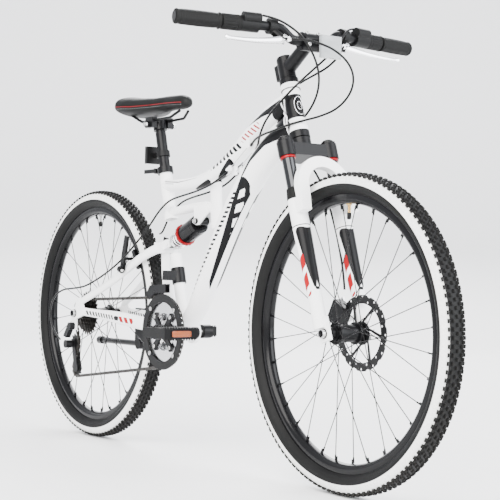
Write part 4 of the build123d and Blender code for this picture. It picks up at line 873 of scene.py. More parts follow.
# ---- wheels ----
@dataclass
class Wheel:
    """One spoked wheel: casing, tread, rim, nipples, valve and hub details."""

    name: str
    body: str
    centre: tuple[float, float]
    finishes: Finishes
    valve_finish: str = "brass"
    casing_middle: float = 0.3072
    casing_height: float = 0.0226
    casing_half_width: float = 0.0262
    nipples: int = 32

    def section(self, turn: Array) -> Array:
        """Gives the casing's section at angles round it, from the side over the top.

        It is a squared oval, pinched in towards the rim below its middle.

        Args:
            turn: the angles.

        Returns:
            Rows of (radius, y).
        """
        side = self.casing_half_width * np.sign(np.cos(turn)) * np.abs(np.cos(turn)) ** 0.70
        up = self.casing_height * np.sign(np.sin(turn)) * np.abs(np.sin(turn)) ** 0.80
        side = side * np.where(up < 0, 1 - 0.50 * (up / self.casing_height) ** 2, 1.0)
        return np.column_stack([self.casing_middle + up, side])

    def casing(self) -> bpy.types.Object:
        """Builds the tyre's casing: an oval section, squarer than an ellipse, carried round the axle."""
        turn = np.linspace(0, 2 * np.pi, 48, endpoint=False)
        profile = self.section(turn)
        finish = self.finishes.front_wall if self.body == "front_wheel" else self.finishes.rear_wall
        return hoop(profile, self.centre).make(self.name + "_casing", finish)

    def tread(self) -> bpy.types.Object:
        """Builds the small-block tread: rows of tapered blocks, each set square to the casing.

        A row stands where the section reaches its angle, pointing along the section's normal.
        """
        rows = (
            (90.0, 0.0, 0.0078, 0.0042, 0.0048),
            (76.0, 0.5, 0.0078, 0.0042, 0.0048),
            (104.0, 0.5, 0.0078, 0.0042, 0.0048),
            (63.0, 0.0, 0.0078, 0.0042, 0.0048),
            (117.0, 0.0, 0.0078, 0.0042, 0.0048),
            (51.5, 0.5, 0.0086, 0.0042, 0.0044),
            (128.5, 0.5, 0.0086, 0.0042, 0.0044),
        )
        count = 128
        whole: Surface | None = None
        for degrees, offset, length, width, height in rows:
            near = self.section(np.radians([degrees - 2.0, degrees, degrees + 2.0]))
            run = near[2] - near[0]
            normal = np.array([-run[1], run[0]]) / np.hypot(*run)
            normal = normal * np.sign(normal[0])
            angle = 2 * np.pi * (np.arange(count) + offset) / count
            radius, side = near[1]
            outward = np.column_stack([np.sin(angle) * normal[0], np.full(count, normal[1]),
                                       np.cos(angle) * normal[0]])
            onward = np.column_stack([np.cos(angle), np.zeros(count), -np.sin(angle)])
            places = np.column_stack([self.centre[0] + radius * np.sin(angle), np.full(count, side),
                                      self.centre[1] + radius * np.cos(angle)])
            turns = np.stack([onward, np.cross(outward, onward), outward], axis=-1)
            row = wedge(length, width, height).repeated(turns, places)
            whole = row if whole is None else whole.joined(row)
        return whole.make(self.name + "_tread", self.finishes.tread, crease=25.0)

    def rim(self) -> bpy.types.Object:
        """Builds the deep rim: a closed section with rounded corners and raised brake walls."""
        half = np.array([
            [0.2868, 0.0], [0.2868, 0.0100], [0.2892, 0.0112], [0.2898, 0.0132], [0.2880, 0.0142],
            [0.2790, 0.0145],
            [0.2765, 0.0141], [0.2745, 0.0128], [0.2710, 0.0096], [0.2693, 0.0066], [0.2684, 0.0030],
            [0.2682, 0.0],
        ])
        other = half[-2:0:-1] * np.array([1.0, -1.0])
        return hoop(np.concatenate([half, other]), self.centre, 240).make(
            self.name + "_rim_wall", self.finishes.gloss_black, 28.0)

    def nipple_ring(self) -> bpy.types.Object:
        """Builds the spoke nipples, each on its eyelet, pointing at the axle."""
        angle = 2 * np.pi * (np.arange(self.nipples) + 0.5) / self.nipples
        rows = np.array([[0.0, 0.0036], [0.0008, 0.0040], [0.0012, 0.0026], [0.0022, 0.0022],
                         [0.0085, 0.0019], [0.0100, 0.0015]])
        nipple = spun(rows, np.zeros(3), np.array([0.0, 0.0, 1.0]), 10)
        inward = -np.column_stack([np.sin(angle), np.zeros(len(angle)), np.cos(angle)])
        along = np.column_stack([np.cos(angle), np.zeros(len(angle)), -np.sin(angle)])
        turns = np.stack([along, np.cross(inward, along), inward], axis=-1)
        places = np.array([self.centre[0], 0.0, self.centre[1]]) - inward * 0.2686
        return nipple.repeated(turns, places).make(self.name + "_nipples", self.finishes.black)

    def valve(self) -> list[bpy.types.Object]:
        """Builds the valve stem with its nut and cap, standing inwards at the top of the wheel."""
        top = np.array([self.centre[0], 0.0, self.centre[1] + 0.2700])
        down = np.array([0.0, 0.0, -1.0])
        turn = np.arange(40)
        threads = np.column_stack([0.002 + turn * 0.00045, 0.00355 + 0.0003 * (turn % 2)])
        stem = spun(np.concatenate([[[0.0, 0.0038]], threads, [[0.0205, 0.0030]]]), top, down, 20)
        nut = hexagon_bolt(top + down * 0.0015, down, 0.0125, 0.0030)
        cap_rows = np.array([[0.020, 0.0040], [0.0212, 0.0046], [0.0310, 0.0044], [0.0335, 0.0034],
                             [0.0340, 0.0018]])
        cap = spun(cap_rows, top, down, 24, wave=1 + 0.05 * np.cos(np.arange(24) * np.pi))
        finish = getattr(self.finishes, self.valve_finish)
        return [
            stem.joined(nut).make(self.name + "_valve_stem", finish),
            cap.make(self.name + "_valve_cap", self.finishes.plastic),
        ]

    def axle_nuts(self, reach: float) -> bpy.types.Object:
        """Builds the two axle nuts with their washers and domed axle ends."""
        whole: Surface | None = None
        for side in Side:
            out = np.array([0.0, float(side.value), 0.0])
            foot = np.array([self.centre[0], 0.0, self.centre[1]]) + out * reach
            washer = spun(np.array([[0.0, 0.0105], [0.0012, 0.0105], [0.0016, 0.0098]]), foot, out, 32)
            nut = hexagon_bolt(foot + out * 0.0012, out, 0.0186, 0.0082, 0.0024)
            whole = washer.joined(nut) if whole is None else whole.joined(washer, nut)
        return whole.make(self.name + "_axle_nuts", self.finishes.gloss_black)

    def build(self) -> int:
        """Builds the wheel and seats it on its body.

        Returns:
            How many pieces it has.
        """
        casing, tread, rim = self.casing(), self.tread(), self.rim()
        pieces = [casing, tread, rim, self.nipple_ring(), *self.valve()]
        for piece in pieces:
            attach(piece, self.body)
        end = "front" if self.body == "front_wheel" else "rear"
        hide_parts(end + "_tyre")
        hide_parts(end + "_rim")
        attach(self.axle_nuts(0.0602 if end == "front" else 0.0738),
                "lowers" if end == "front" else "rear_arm")
        return len(pieces) + 1


# ---- frame ----
@dataclass
class FrameDetails:
    """Weld beads, bolts, the head badge's rim and rings on the white frame."""

    finishes: Finishes
    bead: float = 0.0021

    def weld(self, start: Point, end: Point, width: float, depth: float, axis_at: Array, axis: Array,
             radius: float) -> Surface:
        """Builds the bead where an oval tube runs into a round one.

        The oval's points are carried along its own direction until they meet the round tube,
        which is where (p - d(p.a)a) has the round tube's radius, and a rippled bead follows them.

        Args:
            start: the oval tube's middle, away from the round tube.
            end: a point on the oval tube's middle, inside the round tube.
            width: the oval's width across the bike.
            depth: the oval's depth.
            axis_at: a point on the round tube's axis.
            axis: the round tube's direction.
            radius: the round tube's radius.

        Returns:
            The bead.
        """
        run = np.array(end) - np.array(start)
        run = run / np.linalg.norm(run)
        across = np.array([0.0, 1.0, 0.0])
        up = np.cross(run, across)
        turn = np.linspace(0, 2 * np.pi, 72, endpoint=False)
        oval = (np.array(start) + np.cos(turn)[:, None] * across * width / 2
                + np.sin(turn)[:, None] * up * depth / 2)
        unit = axis / np.linalg.norm(axis)
        flat_run = run - unit * (run @ unit)
        gap = oval - axis_at
        flat_gap = gap - (gap @ unit)[:, None] * unit
        a = flat_run @ flat_run
        b = 2 * flat_gap @ flat_run
        c = (flat_gap ** 2).sum(1) - radius ** 2
        root = np.sqrt(np.maximum(b * b - 4 * a * c, 0.0))
        met = oval + ((-b - root) / (2 * a))[:, None] * run
        return self.loop(met)

    def loop(self, line: Array) -> Surface:
        """Carries a rippled bead round a closed line."""
        dense = np.concatenate([line, line[:1]])
        share = np.linspace(0, len(line), len(line) * 3, endpoint=False)
        line = np.column_stack([np.interp(share, np.arange(len(dense)), dense[:, k]) for k in range(3)])
        tangent = np.roll(line, -1, 0) - np.roll(line, 1, 0)
        tangent /= np.linalg.norm(tangent, axis=1)[:, None]
        middle = line.mean(0)
        outward = line - middle
        outward -= (outward * tangent).sum(1)[:, None] * tangent
        outward /= np.linalg.norm(outward, axis=1)[:, None]
        second = np.cross(tangent, outward)
        radius = self.bead * (1 + 0.16 * np.sin(np.arange(len(line)) * 1.05))
        angle = np.linspace(0, 2 * np.pi, 8, endpoint=False)
        ring = (np.cos(angle)[None, :, None] * outward[:, None]
                + np.sin(angle)[None, :, None] * second[:, None])
        return grid(line[:, None] + radius[:, None, None] * ring, along=True)

    def welds(self) -> bpy.types.Object:
        """Builds the beads on the head tube and the seat tube."""
        head_axis = fork_place(-0.025, 0.0, 0.520)
        seat_lean = np.array([-math.cos(math.radians(74.5)), 0.0, math.sin(math.radians(74.5))])
        seat_at = np.array([-0.203, 0.0, 0.712])
        beads = self.weld((0.262, 0.0, 0.812), (0.335, 0.0, 0.838), 0.0375, 0.046, head_axis, STEER_UP,
                          0.0196)
        beads = beads.joined(
            self.weld((0.280, 0.0, 0.7485), (0.346, 0.0, 0.798), 0.046, 0.056, head_axis, STEER_UP, 0.0235),
            self.weld((-0.100, 0.0, 0.6685), (-0.193, 0.0, 0.671), 0.031, 0.029, seat_at, seat_lean, 0.0161),
            self.weld((-0.120, 0.0, 0.6080), (-0.175, 0.0, 0.604), 0.024, 0.022, seat_at, seat_lean, 0.0161),
        )
        return beads.make("frame_weld_beads", self.finishes.weld)

    def head_rings(self) -> bpy.types.Object:
        """Builds the thin dark lines of the headset's seats."""
        origin = fork_place(-0.025, 0.0, 0.0)
        rows = ((0.4640, 0.0222), (0.5650, 0.0218), (0.5785, 0.0218), (0.5905, 0.0190))
        whole: Surface | None = None
        for up, radius in rows:
            ring = np.array([[up - 0.0009, radius - 0.003], [up - 0.0006, radius + 0.0002],
                             [up + 0.0006, radius + 0.0002],
                             [up + 0.0009, radius - 0.003]])
            band = spun(ring, origin, STEER_UP, 64)
            whole = band if whole is None else whole.joined(band)
        return whole.make("headset_rings", self.finishes.gloss_black)

    def badge(self) -> bpy.types.Object:
        """Builds the plain oval rim of the head badge, bent to the head tube's round front.

        Two rims, the inner one 0.45 of the outer. The outer one's point at angle t lies 0.62 cos t
        radians round the tube and 21.5 mm sin t along it.
        """
        turn = np.linspace(0, 2 * np.pi, 72, endpoint=False)
        whole: Surface | None = None
        for share in (1.0, 0.45):
            lean = 0.62 * share * np.cos(turn)
            up = 0.521 + 0.0215 * share * np.sin(turn)
            line = fork_place(-0.025, 0.0, 0.0) + up[:, None] * STEER_UP + 0.0197 * (
                np.cos(lean)[:, None] * STEER_FORWARD + np.sin(lean)[:, None] * np.array([0.0, 1.0, 0.0]))
            rim = FrameDetails(self.finishes, 0.0008).loop(line)
            whole = rim if whole is None else whole.joined(rim)
        return whole.make("head_badge_rim", self.finishes.polished)

    def bolts(self) -> bpy.types.Object:
        """Builds the shock bolt's head and nut, and the seat clamp's barrel nut."""
        whole: Surface | None = None
        for side in Side:
            out = np.array([0.0, float(side.value), 0.0])
            piece = hexagon_bolt(np.array([-0.022, side.value * 0.0225, 0.577]), out, 0.0132, 0.0048, 0.0016)
            whole = piece if whole is None else whole.joined(piece)
        nut = spun(np.array([[0, 0.0055], [0.006, 0.0060], [0.008, 0.0045]]),
                   np.array([-0.2300, 0.0088, 0.7080]),
                   np.array([0.0, 1.0, 0.0]), 24)
        return whole.joined(nut).make("frame_bolts", self.finishes.steel)

    def build(self) -> int:
        """Builds the details and seats them.

        Returns:
            How many pieces there are.
        """
        pieces = [self.welds(), self.head_rings(), self.bolts(), self.badge()]
        for piece in pieces:
            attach(piece, "frame")
        return len(pieces)


# ---- fork ----
@dataclass
class ForkDetails:
    """Caps, coloured collars and wiper lips of the suspension fork."""

    finishes: Finishes
    leg_forward: float = -0.008
    leg_side: float = 0.058

    def rings(self, rows: Array, name: str, finish: bpy.types.Material,
              wave: Array | None = None) -> bpy.types.Object:
        """Spins the same profile round both legs.

        Args:
            rows: rows of (height along the leg, radius).
            name: the piece's name.
            finish: its material.
            wave: a factor on the radius for each of 48 points round it.

        Returns:
            The piece.
        """
        whole: Surface | None = None
        for side in Side:
            origin = fork_place(self.leg_forward, side.value * self.leg_side, 0.0)
            part = spun(rows, origin, STEER_UP, 48, wave)
            whole = part if whole is None else whole.joined(part)
        return whole.make(name, finish)

    def build(self) -> int:
        """Builds the details and seats them.

        Returns:
            How many pieces there are.
        """
        knurl = 1 + 0.03 * np.sign(np.cos(np.arange(48) * 2 * np.pi / 4))
        caps = self.rings(np.array([[0.429, 0.0160], [0.4305, 0.0168], [0.4350, 0.0168], [0.4358, 0.0150],
                                    [0.4366, 0.0120], [0.4400, 0.0116], [0.4412, 0.0100]]),
                          "fork_top_caps", self.finishes.gloss_black, knurl)
        collars = self.rings(np.array([[0.3900, 0.0143], [0.3905, 0.0165], [0.3912, 0.0170], [0.3945, 0.0170],
                                       [0.3955, 0.0165], [0.3958, 0.0143]]), "fork_red_collars",
                                       self.finishes.red)
        lips = self.rings(np.array([[0.3195, 0.0144], [0.3198, 0.0172], [0.3212, 0.0170], [0.3235, 0.0152],
                                    [0.3238, 0.0144]]),
                          "fork_wiper_lips", self.finishes.rubber)
        bands = self.rings(np.array([[0.2350, 0.0185], [0.2353, 0.0194], [0.2370, 0.0194], [0.2373, 0.0185]]),
                           "fork_leg_lines", self.finishes.gloss_black)
        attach(caps, "steering")
        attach(collars, "steering")
        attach(lips, "lowers")
        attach(bands, "lowers")
        return 4


# ---- handlebar ----
BAR_RISE = np.array([0.389, 0.076, 0.982])
BAR_END = np.array([0.350, 0.319, 0.983])


def bar_place(side: Side, out: float) -> Array:
    """Gives the bar's middle at a distance from the middle plane, on its swept-back part."""
    step = (out - BAR_RISE[1]) / (BAR_END[1] - BAR_RISE[1])
    place = BAR_RISE + (BAR_END - BAR_RISE) * step
    return place * np.array([1.0, side.value, 1.0])


def bar_heading(side: Side) -> Array:
    """Gives the bar's outward direction on one side."""
    run = (BAR_END - BAR_RISE) / np.linalg.norm(BAR_END - BAR_RISE)
    return run * np.array([1.0, side.value, 1.0])


@dataclass
class Cockpit:
    """Grips, twist grips, levers, indicator windows, stem bolts and cable barrels."""

    finishes: Finishes
    grip_start: float = 0.2166
    grip_end: float = 0.3190
    twist_start: float = 0.1732
    twist_end: float = 0.2150

    def grip(self, side: Side) -> Surface:
        """Builds one rubber grip: a barrel with rings at both ends and shallow ribs between.

        The radius is a slow barrel curve plus a fine ripple along it, cut by pads round it.
        """
        length = self.grip_end - self.grip_start
        along = np.linspace(0, length, 90)
        share = along / length
        barrel = 0.0148 + 0.0011 * np.sin(np.pi * share) ** 0.7
        ripple = 0.00055 * np.abs(np.sin(along * 2 * np.pi / 0.0072)) * ((share > 0.08) & (share < 0.9))
        flange = 0.0030 * np.exp(-((share - 0.02) / 0.022) ** 2) + 0.0014 * np.exp(-((share - 0.965)
                                                                                     / 0.025) ** 2)
        angle = np.linspace(0, 2 * np.pi, 48, endpoint=False)
        pads = 1 + 0.028 * np.sign(np.cos(6 * angle))[None] * ((share > 0.1) & (share < 0.88))[:, None]
        radius = barrel + ripple + flange
        radius[0] = 0.0116
        radius[-1] = 0.0125
        profile = np.column_stack([along, radius])
        return spun(profile, bar_place(side, self.grip_start), bar_heading(side), 48,
                    pads * np.ones((90, 48)))

    def twist(self, side: Side) -> Surface:
        """Builds one twist grip: lengthwise ribs that fade out at a plain rounded collar."""
        length = self.twist_end - self.twist_start
        along = np.concatenate([[0.0], np.linspace(0.0004, length - 0.0004, 40), [length]])
        share = along / length
        radius = 0.0163 + 0.0010 * (share < 0.16) - 0.0016 * (share > 0.985) - 0.0004 * (share < 0.01)
        angle = np.linspace(0, 2 * np.pi, 96, endpoint=False)
        ribs = 1 + 0.055 * (np.cos(16 * angle)[None] > 0.0) * ((share > 0.2) & (share < 0.95))[:, None]
        return spun(np.column_stack([along, radius]), bar_place(side, self.twist_start), bar_heading(side),
                    96, ribs)

    def lever(self, side: Side) -> Surface:
        """Builds one brake lever: a flattened tapering blade that curves to a ball end.

        The blade's middle is a smooth line from the pivot to the ball, and its section's
        depth falls from the pivot to the tip.
        """
        pivot = np.array([0.412, side.value * 0.084, 0.952])
        tip = np.array([0.419, side.value * 0.235, 0.938])
        share = np.linspace(0, 1, 60)
        towards = bar_place(side, 0.200) - np.array([0.416, side.value * 0.200, 0.941])
        towards = towards / np.linalg.norm(towards)
        bow = 0.0065 * np.sin(np.pi * share) - 0.004 * share ** 3
        line = pivot + (tip - pivot) * share[:, None] - bow[:, None] * towards * 0.9
        depth = np.interp(share, [0, 0.06, 0.25, 0.6, 0.93, 0.96, 0.985, 1.0],
                          [0.0070, 0.0085, 0.0066, 0.0050, 0.0040, 0.0062, 0.0066, 0.0030])
        return tube(line, depth, 16, 0.62)

    def lever_collars(self, side: Side) -> Surface:
        """Builds the lever's pivot bolt head and its cable barrel with a knurled knob."""
        pivot = np.array([0.412, side.value * 0.084, 0.952])
        tip = np.array([0.419, side.value * 0.235, 0.938])
        towards = bar_place(side, 0.200) - np.array([0.416, side.value * 0.200, 0.941])
        axis = np.cross(tip - pivot, towards)
        axis = axis / np.linalg.norm(axis)
        head = spun(np.array([[0.0078, 0.0042], [0.0082, 0.0050], [0.0105, 0.0050], [0.0112, 0.0040],
                              [0.0106, 0.0024]]),
                    pivot, axis, 24)
        foot = spun(np.array([[-0.0112, 0.0040], [-0.0105, 0.0050], [-0.0082, 0.0050], [-0.0078, 0.0042]]),
                    pivot, axis, 24)
        start = np.array([0.4175, side.value * 0.0790, 0.9535])
        route = np.array([0.0015, -side.value * 1.0, 0.02])
        knurl = 1 + 0.07 * np.cos(np.arange(36) * np.pi)
        barrel = spun(np.array([[0.0, 0.0036], [0.001, 0.0052], [0.0052, 0.0054], [0.0062, 0.0040],
                                [0.0105, 0.0034], [0.0112, 0.0028]]), start, route, 36, knurl)
        return head.joined(foot, barrel)

    def windows(self) -> Surface:
        """Builds the gear indicators: a low lens on top of each housing."""
        whole: Surface | None = None
        for side in Side:
            middle = bar_place(side, 0.150) + np.array([0.0005, 0.0, 0.0172])
            run = bar_heading(side)
            across = np.cross(run, np.array([0.0, 0.0, 1.0]))
            angle = np.linspace(0, 2 * np.pi, 32, endpoint=False)
            ring = (np.sign(np.cos(angle)) * np.abs(np.cos(angle)) ** 0.5)[:, None] * run * 0.0115
            ring = ring + (np.sign(np.sin(angle)) * np.abs(np.sin(angle)) ** 0.5)[:, None] * across * 0.0050
            up = np.array([0.0, 0.0, 1.0])
            rows = np.stack([middle + ring - up * 0.002, middle + ring * 0.98 + up * 0.0006,
                             middle + ring * 0.7 + up * 0.0014])
            part = grid(rows)
            whole = part if whole is None else whole.joined(part)
        return whole

    def stem_bolts(self) -> Surface:
        """Builds the socket-headed bolts of the faceplate, the steerer clamp and the top cap."""
        bar = fork_place(0.0703, 0.0, 0.636)
        rows = np.array([[0.0, 0.0042], [0.0036, 0.0042], [0.0042, 0.0036], [0.0042, 0.0022],
                         [0.0020, 0.0021], [0.0020, 0.0004]])
        spots = [(bar + STEER_FORWARD * 0.0135 + STEER_UP * up + np.array([0.0, out, 0.0]), STEER_FORWARD)
                 for up in (0.0140, -0.0140) for out in (0.0155, -0.0155)]
        spots += [(fork_place(-0.0510, 0.0095, up), np.array([0.0, 1.0, 0.0])) for up in (0.606, 0.628)]
        spots.append((fork_place(-0.025, 0.0, 0.6445), STEER_UP))
        whole: Surface | None = None
        for place, axis in spots:
            bolt = spun(rows, place, axis, 24)
            whole = bolt if whole is None else whole.joined(bolt)
        return whole

    def build(self) -> int:
        """Builds the pieces and seats them.

        Returns:
            How many pieces there are.
        """
        grips = self.grip(Side.RIGHT).joined(self.grip(Side.LEFT)).make("ribbed_grips", self.finishes.rubber,
                                                                        40.0)
        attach(grips, "steering")
        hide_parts("handlebar_grips")
        for side, word in ((Side.RIGHT, "right"), (Side.LEFT, "left")):
            twist = self.twist(side).make(word + "_ribbed_twist_grip", self.finishes.rubber, 40.0)
            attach(twist, word + "_twist")
            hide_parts(word + "_twist_grip")
            blade = self.lever(side).make(word + "_lever_blade", self.finishes.polished)
            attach(blade, word + "_lever")
            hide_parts(word + "_brake_lever")
            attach(self.lever_collars(side).make(word + "_lever_barrel", self.finishes.polished), "steering")
        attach(self.windows().make("gear_indicator_windows", self.finishes.clear), "steering")
        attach(self.stem_bolts().make("stem_bolts", self.finishes.steel), "steering")
        return 9


# ---- saddle ----
@dataclass
class Saddle:
    """The padded saddle: its crowned cover, piping, skirt seam and clamp nuts."""

    finishes: Finishes
    nose: float = -0.092
    tail: float = -0.364
    rows: int = 90
    columns: int = 64

    def outline(self, share: Array) -> tuple[Array, Array, Array, Array]:
        """Gives the saddle's half width, upper height, lower height and x at shares of its length."""
        half = np.interp(share, [0, 0.02, 0.06, 0.15, 0.32, 0.5, 0.64, 0.78, 0.9, 0.96, 0.985, 1.0],
                         [0.004, 0.012, 0.0165, 0.0205, 0.0250, 0.0370, 0.0540, 0.0715, 0.0752, 0.0660,
                          0.0520, 0.0250])
        top = np.interp(share, [0, 0.03, 0.1, 0.3, 0.5, 0.7, 0.88, 0.97, 1.0],
                        [0.8790, 0.8860, 0.8930, 0.8950, 0.8950, 0.8985, 0.9055, 0.9050, 0.8990])
        low = np.interp(share, [0, 0.03, 0.1, 0.3, 0.5, 0.7, 0.88, 0.97, 1.0],
                        [0.8650, 0.8600, 0.8575, 0.8590, 0.8570, 0.8520, 0.8510, 0.8570, 0.8700])
        kernel = np.hanning(9)
        kernel /= kernel.sum()
        smooth = [np.convolve(np.pad(v, 4, mode="edge"), kernel, mode="valid") for v in (half, top, low)]
        return smooth[0], smooth[1], smooth[2], self.nose + (self.tail - self.nose) * share

    def shell(self) -> Surface:
        """Builds the cover.

        Each section is a flattened oval whose sides tuck in underneath, and the top has a
        shallow groove along its middle from the waist to the tail.
        """
        share = 0.5 - 0.5 * np.cos(np.linspace(0, np.pi, self.rows))
        half, top, low, x = self.outline(share)
        angle = np.linspace(0, 2 * np.pi, self.columns, endpoint=False)
        cosine, sine = np.cos(angle), np.sin(angle)
        side = np.sign(cosine) * np.abs(cosine) ** 0.80
        rise = np.sign(sine) * np.abs(sine) ** 0.72
        tuck = np.where(sine < 0, 1 - 0.22 * np.abs(sine) ** 1.5, 1.0)
        middle, reach = (top * 0.42 + low * 0.58), (top - low)
        height = np.where(rise > 0, rise * 0.58, rise * 0.42)[None] * reach[:, None]
        y = half[:, None] * (side * tuck)[None]
        groove = 0.0042 * np.exp(-(y / 0.011) ** 2) * (np.clip((share - 0.35) / 0.15, 0, 1)
                                                     * np.clip((0.99 - share) / 0.08, 0,
                                                               1))[:, None] * (sine > 0)[None]
        z = middle[:, None] + height - groove
        return grid(np.stack([x[:, None] + 0 * y, y, z], axis=-1))

    def edge_line(self, drop: float, inset: float) -> Array:
        """Gives a line round the cover's widest part, a little below or inside it."""
        share = np.concatenate([np.linspace(0.06, 0.985, 80), np.linspace(0.985, 0.06, 80)])
        sign = np.concatenate([np.ones(80), -np.ones(80)])
        half, top, low, x = self.outline(np.linspace(0, 1, 400))
        pick = np.clip((share * 399).astype(int), 0, 399)
        z = top[pick] * 0.42 + low[pick] * 0.58 + drop
        return np.column_stack([x[pick], sign * (half[pick] + inset), z])

    def piping(self) -> Surface:
        """Builds the piping where the top panel meets the skirt."""
        return FrameDetails(self.finishes, 0.0009).loop(self.edge_line(0.0008, -0.0004))

    def stitches(self) -> Surface:
        """Builds the row of stitches below the piping: short rods, one for each gap."""
        line = self.edge_line(-0.0045, -0.0010)
        start, end = line[:-1:2], line[1::2]
        count = min(len(start), len(end))
        run = end[:count] - start[:count]
        length = np.linalg.norm(run, axis=1)
        keep = (length > 1e-4) & (length < 0.012)
        run, place, length = run[keep], start[:count][keep], length[keep]
        unit = run / length[:, None]
        helper = np.cross(unit, np.array([0.0, 0.0, 1.0]))
        helper /= np.linalg.norm(helper, axis=1)[:, None]
        turns = np.stack([helper, np.cross(unit, helper), unit], axis=-1)
        rod = spun(np.array([[0.0, 0.0002], [0.0003, 0.0005], [0.0022, 0.0005], [0.0025, 0.0002]]),
                   np.zeros(3), np.array([0.0, 0.0, 1.0]), 6)
        return rod.repeated(turns, place)

    def rear_lens(self) -> Surface:
        """Builds the rear reflector's lens: a pillow with round corners on the box's back."""
        angle = np.linspace(0, 2 * np.pi, 48, endpoint=False)
        y = 0.0215 * np.sign(np.cos(angle)) * np.abs(np.cos(angle)) ** 0.3
        z = 0.0195 * np.sign(np.sin(angle)) * np.abs(np.sin(angle)) ** 0.3
        rows = [np.column_stack([np.full(48, -x), y * k, 0.750 + z * k])
                for x, k in ((0.2640, 1.0), (0.2668, 1.0), (0.2676, 0.93))]
        return grid(np.stack(rows))

    def clamp_nuts(self) -> Surface:
        """Builds the nuts at both ends of the clamp's bolt."""
        middle = np.array([-0.2346, 0.0, 0.8260])
        whole: Surface | None = None
        for side in Side:
            out = np.array([0.0, float(side.value), 0.0])
            nut = hexagon_bolt(middle + out * 0.0396, out, 0.0138, 0.0062, 0.0026)
            whole = nut if whole is None else whole.joined(nut)
        return whole

    def build(self) -> int:
        """Builds the saddle and seats it.

        Returns:
            How many pieces there are.
        """
        cover = self.shell().make("saddle_cover", self.finishes.cover, 60.0)
        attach(cover, "seat")
        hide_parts("saddle")
        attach(self.piping().make("saddle_piping", self.finishes.red), "seat")
        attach(self.stitches().make("saddle_stitches", self.finishes.thread), "seat")
        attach(self.clamp_nuts().make("saddle_clamp_nuts", self.finishes.steel), "seat")
        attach(self.rear_lens().make("rear_reflector_lens", self.finishes.ruby), "seat")
        return 5


# ---- rear shock ----
@dataclass
class Shock:
    """The coil, its collar and the can's rings."""

    finishes: Finishes
    front: Point = (-0.022, 0.0, 0.577)
    rear: Point = (-0.154, 0.0, 0.522)
    coil_start: float = 0.0890
    coil_end: float = 0.1168
    coil_radius: float = 0.0165
    wire: float = 0.0021
    turns: float = 3.2

    def heading(self) -> Array:
        """Gives the direction from the upper eye to the lower one."""
        run = np.array(self.rear) - np.array(self.front)
        return run / np.linalg.norm(run)

    def coil(self) -> Surface:
        """Builds the coil: a helix with a flat dead turn at each end."""
        first, second = square_axes(self.heading())
        share = np.linspace(0, 1, 160)
        angle = 2 * np.pi * self.turns * share
        rise = np.interp(share, [0, 0.14, 0.86, 1], [0.05, 0.10, 0.90, 0.95])
        along = self.coil_start + (self.coil_end - self.coil_start) * rise
        line = np.array(self.front) + along[:, None] * self.heading()
        line = line + self.coil_radius * (np.cos(angle)[:, None] * first + np.sin(angle)[:, None] * second)
        return tube(line, self.wire, 12)

    def rings(self, rows: Array, name: str, finish: bpy.types.Material,
              knurled: bool = False) -> bpy.types.Object:
        """Spins a profile about the shock's axis."""
        wave = 1 + 0.02 * np.sign(np.cos(np.arange(72) * 2 * np.pi / 4)) if knurled else None
        return spun(rows, np.array(self.front), self.heading(), 72, wave).make(name, finish)

    def build(self) -> int:
        """Builds the shock's details and seats them.

        Returns:
            How many pieces there are.
        """
        coil = self.coil().make("shock_coil", self.finishes.polished)
        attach(coil, "shock_can")
        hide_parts("shock_spring")
        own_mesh(coil)
        collar = self.rings(np.array([[0.0795, 0.0235], [0.0800, 0.0272], [0.0812, 0.0278], [0.0868, 0.0278],
                                      [0.0880, 0.0272], [0.0882, 0.0100]]), "shock_red_collar",
                                      self.finishes.red, True)
        bands = self.rings(np.array([[0.0280, 0.0230], [0.0284, 0.0243], [0.0300, 0.0243], [0.0304, 0.0236],
                                     [0.0700, 0.0236], [0.0704, 0.0243], [0.0720, 0.0243], [0.0724, 0.0230]]),
                                     "shock_can_bands",
                           self.finishes.gloss_black)
        seat = self.rings(np.array([[0.1176, 0.0070], [0.1178, 0.0203], [0.1190, 0.0208], [0.1260, 0.0208],
                                    [0.1268, 0.0198],
                                    [0.1272, 0.0070]]), "shock_spring_seat", self.finishes.polished)
        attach(collar, "shock_can")
        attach(bands, "shock_can")
        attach(seat, "shock_rod")
        return 4


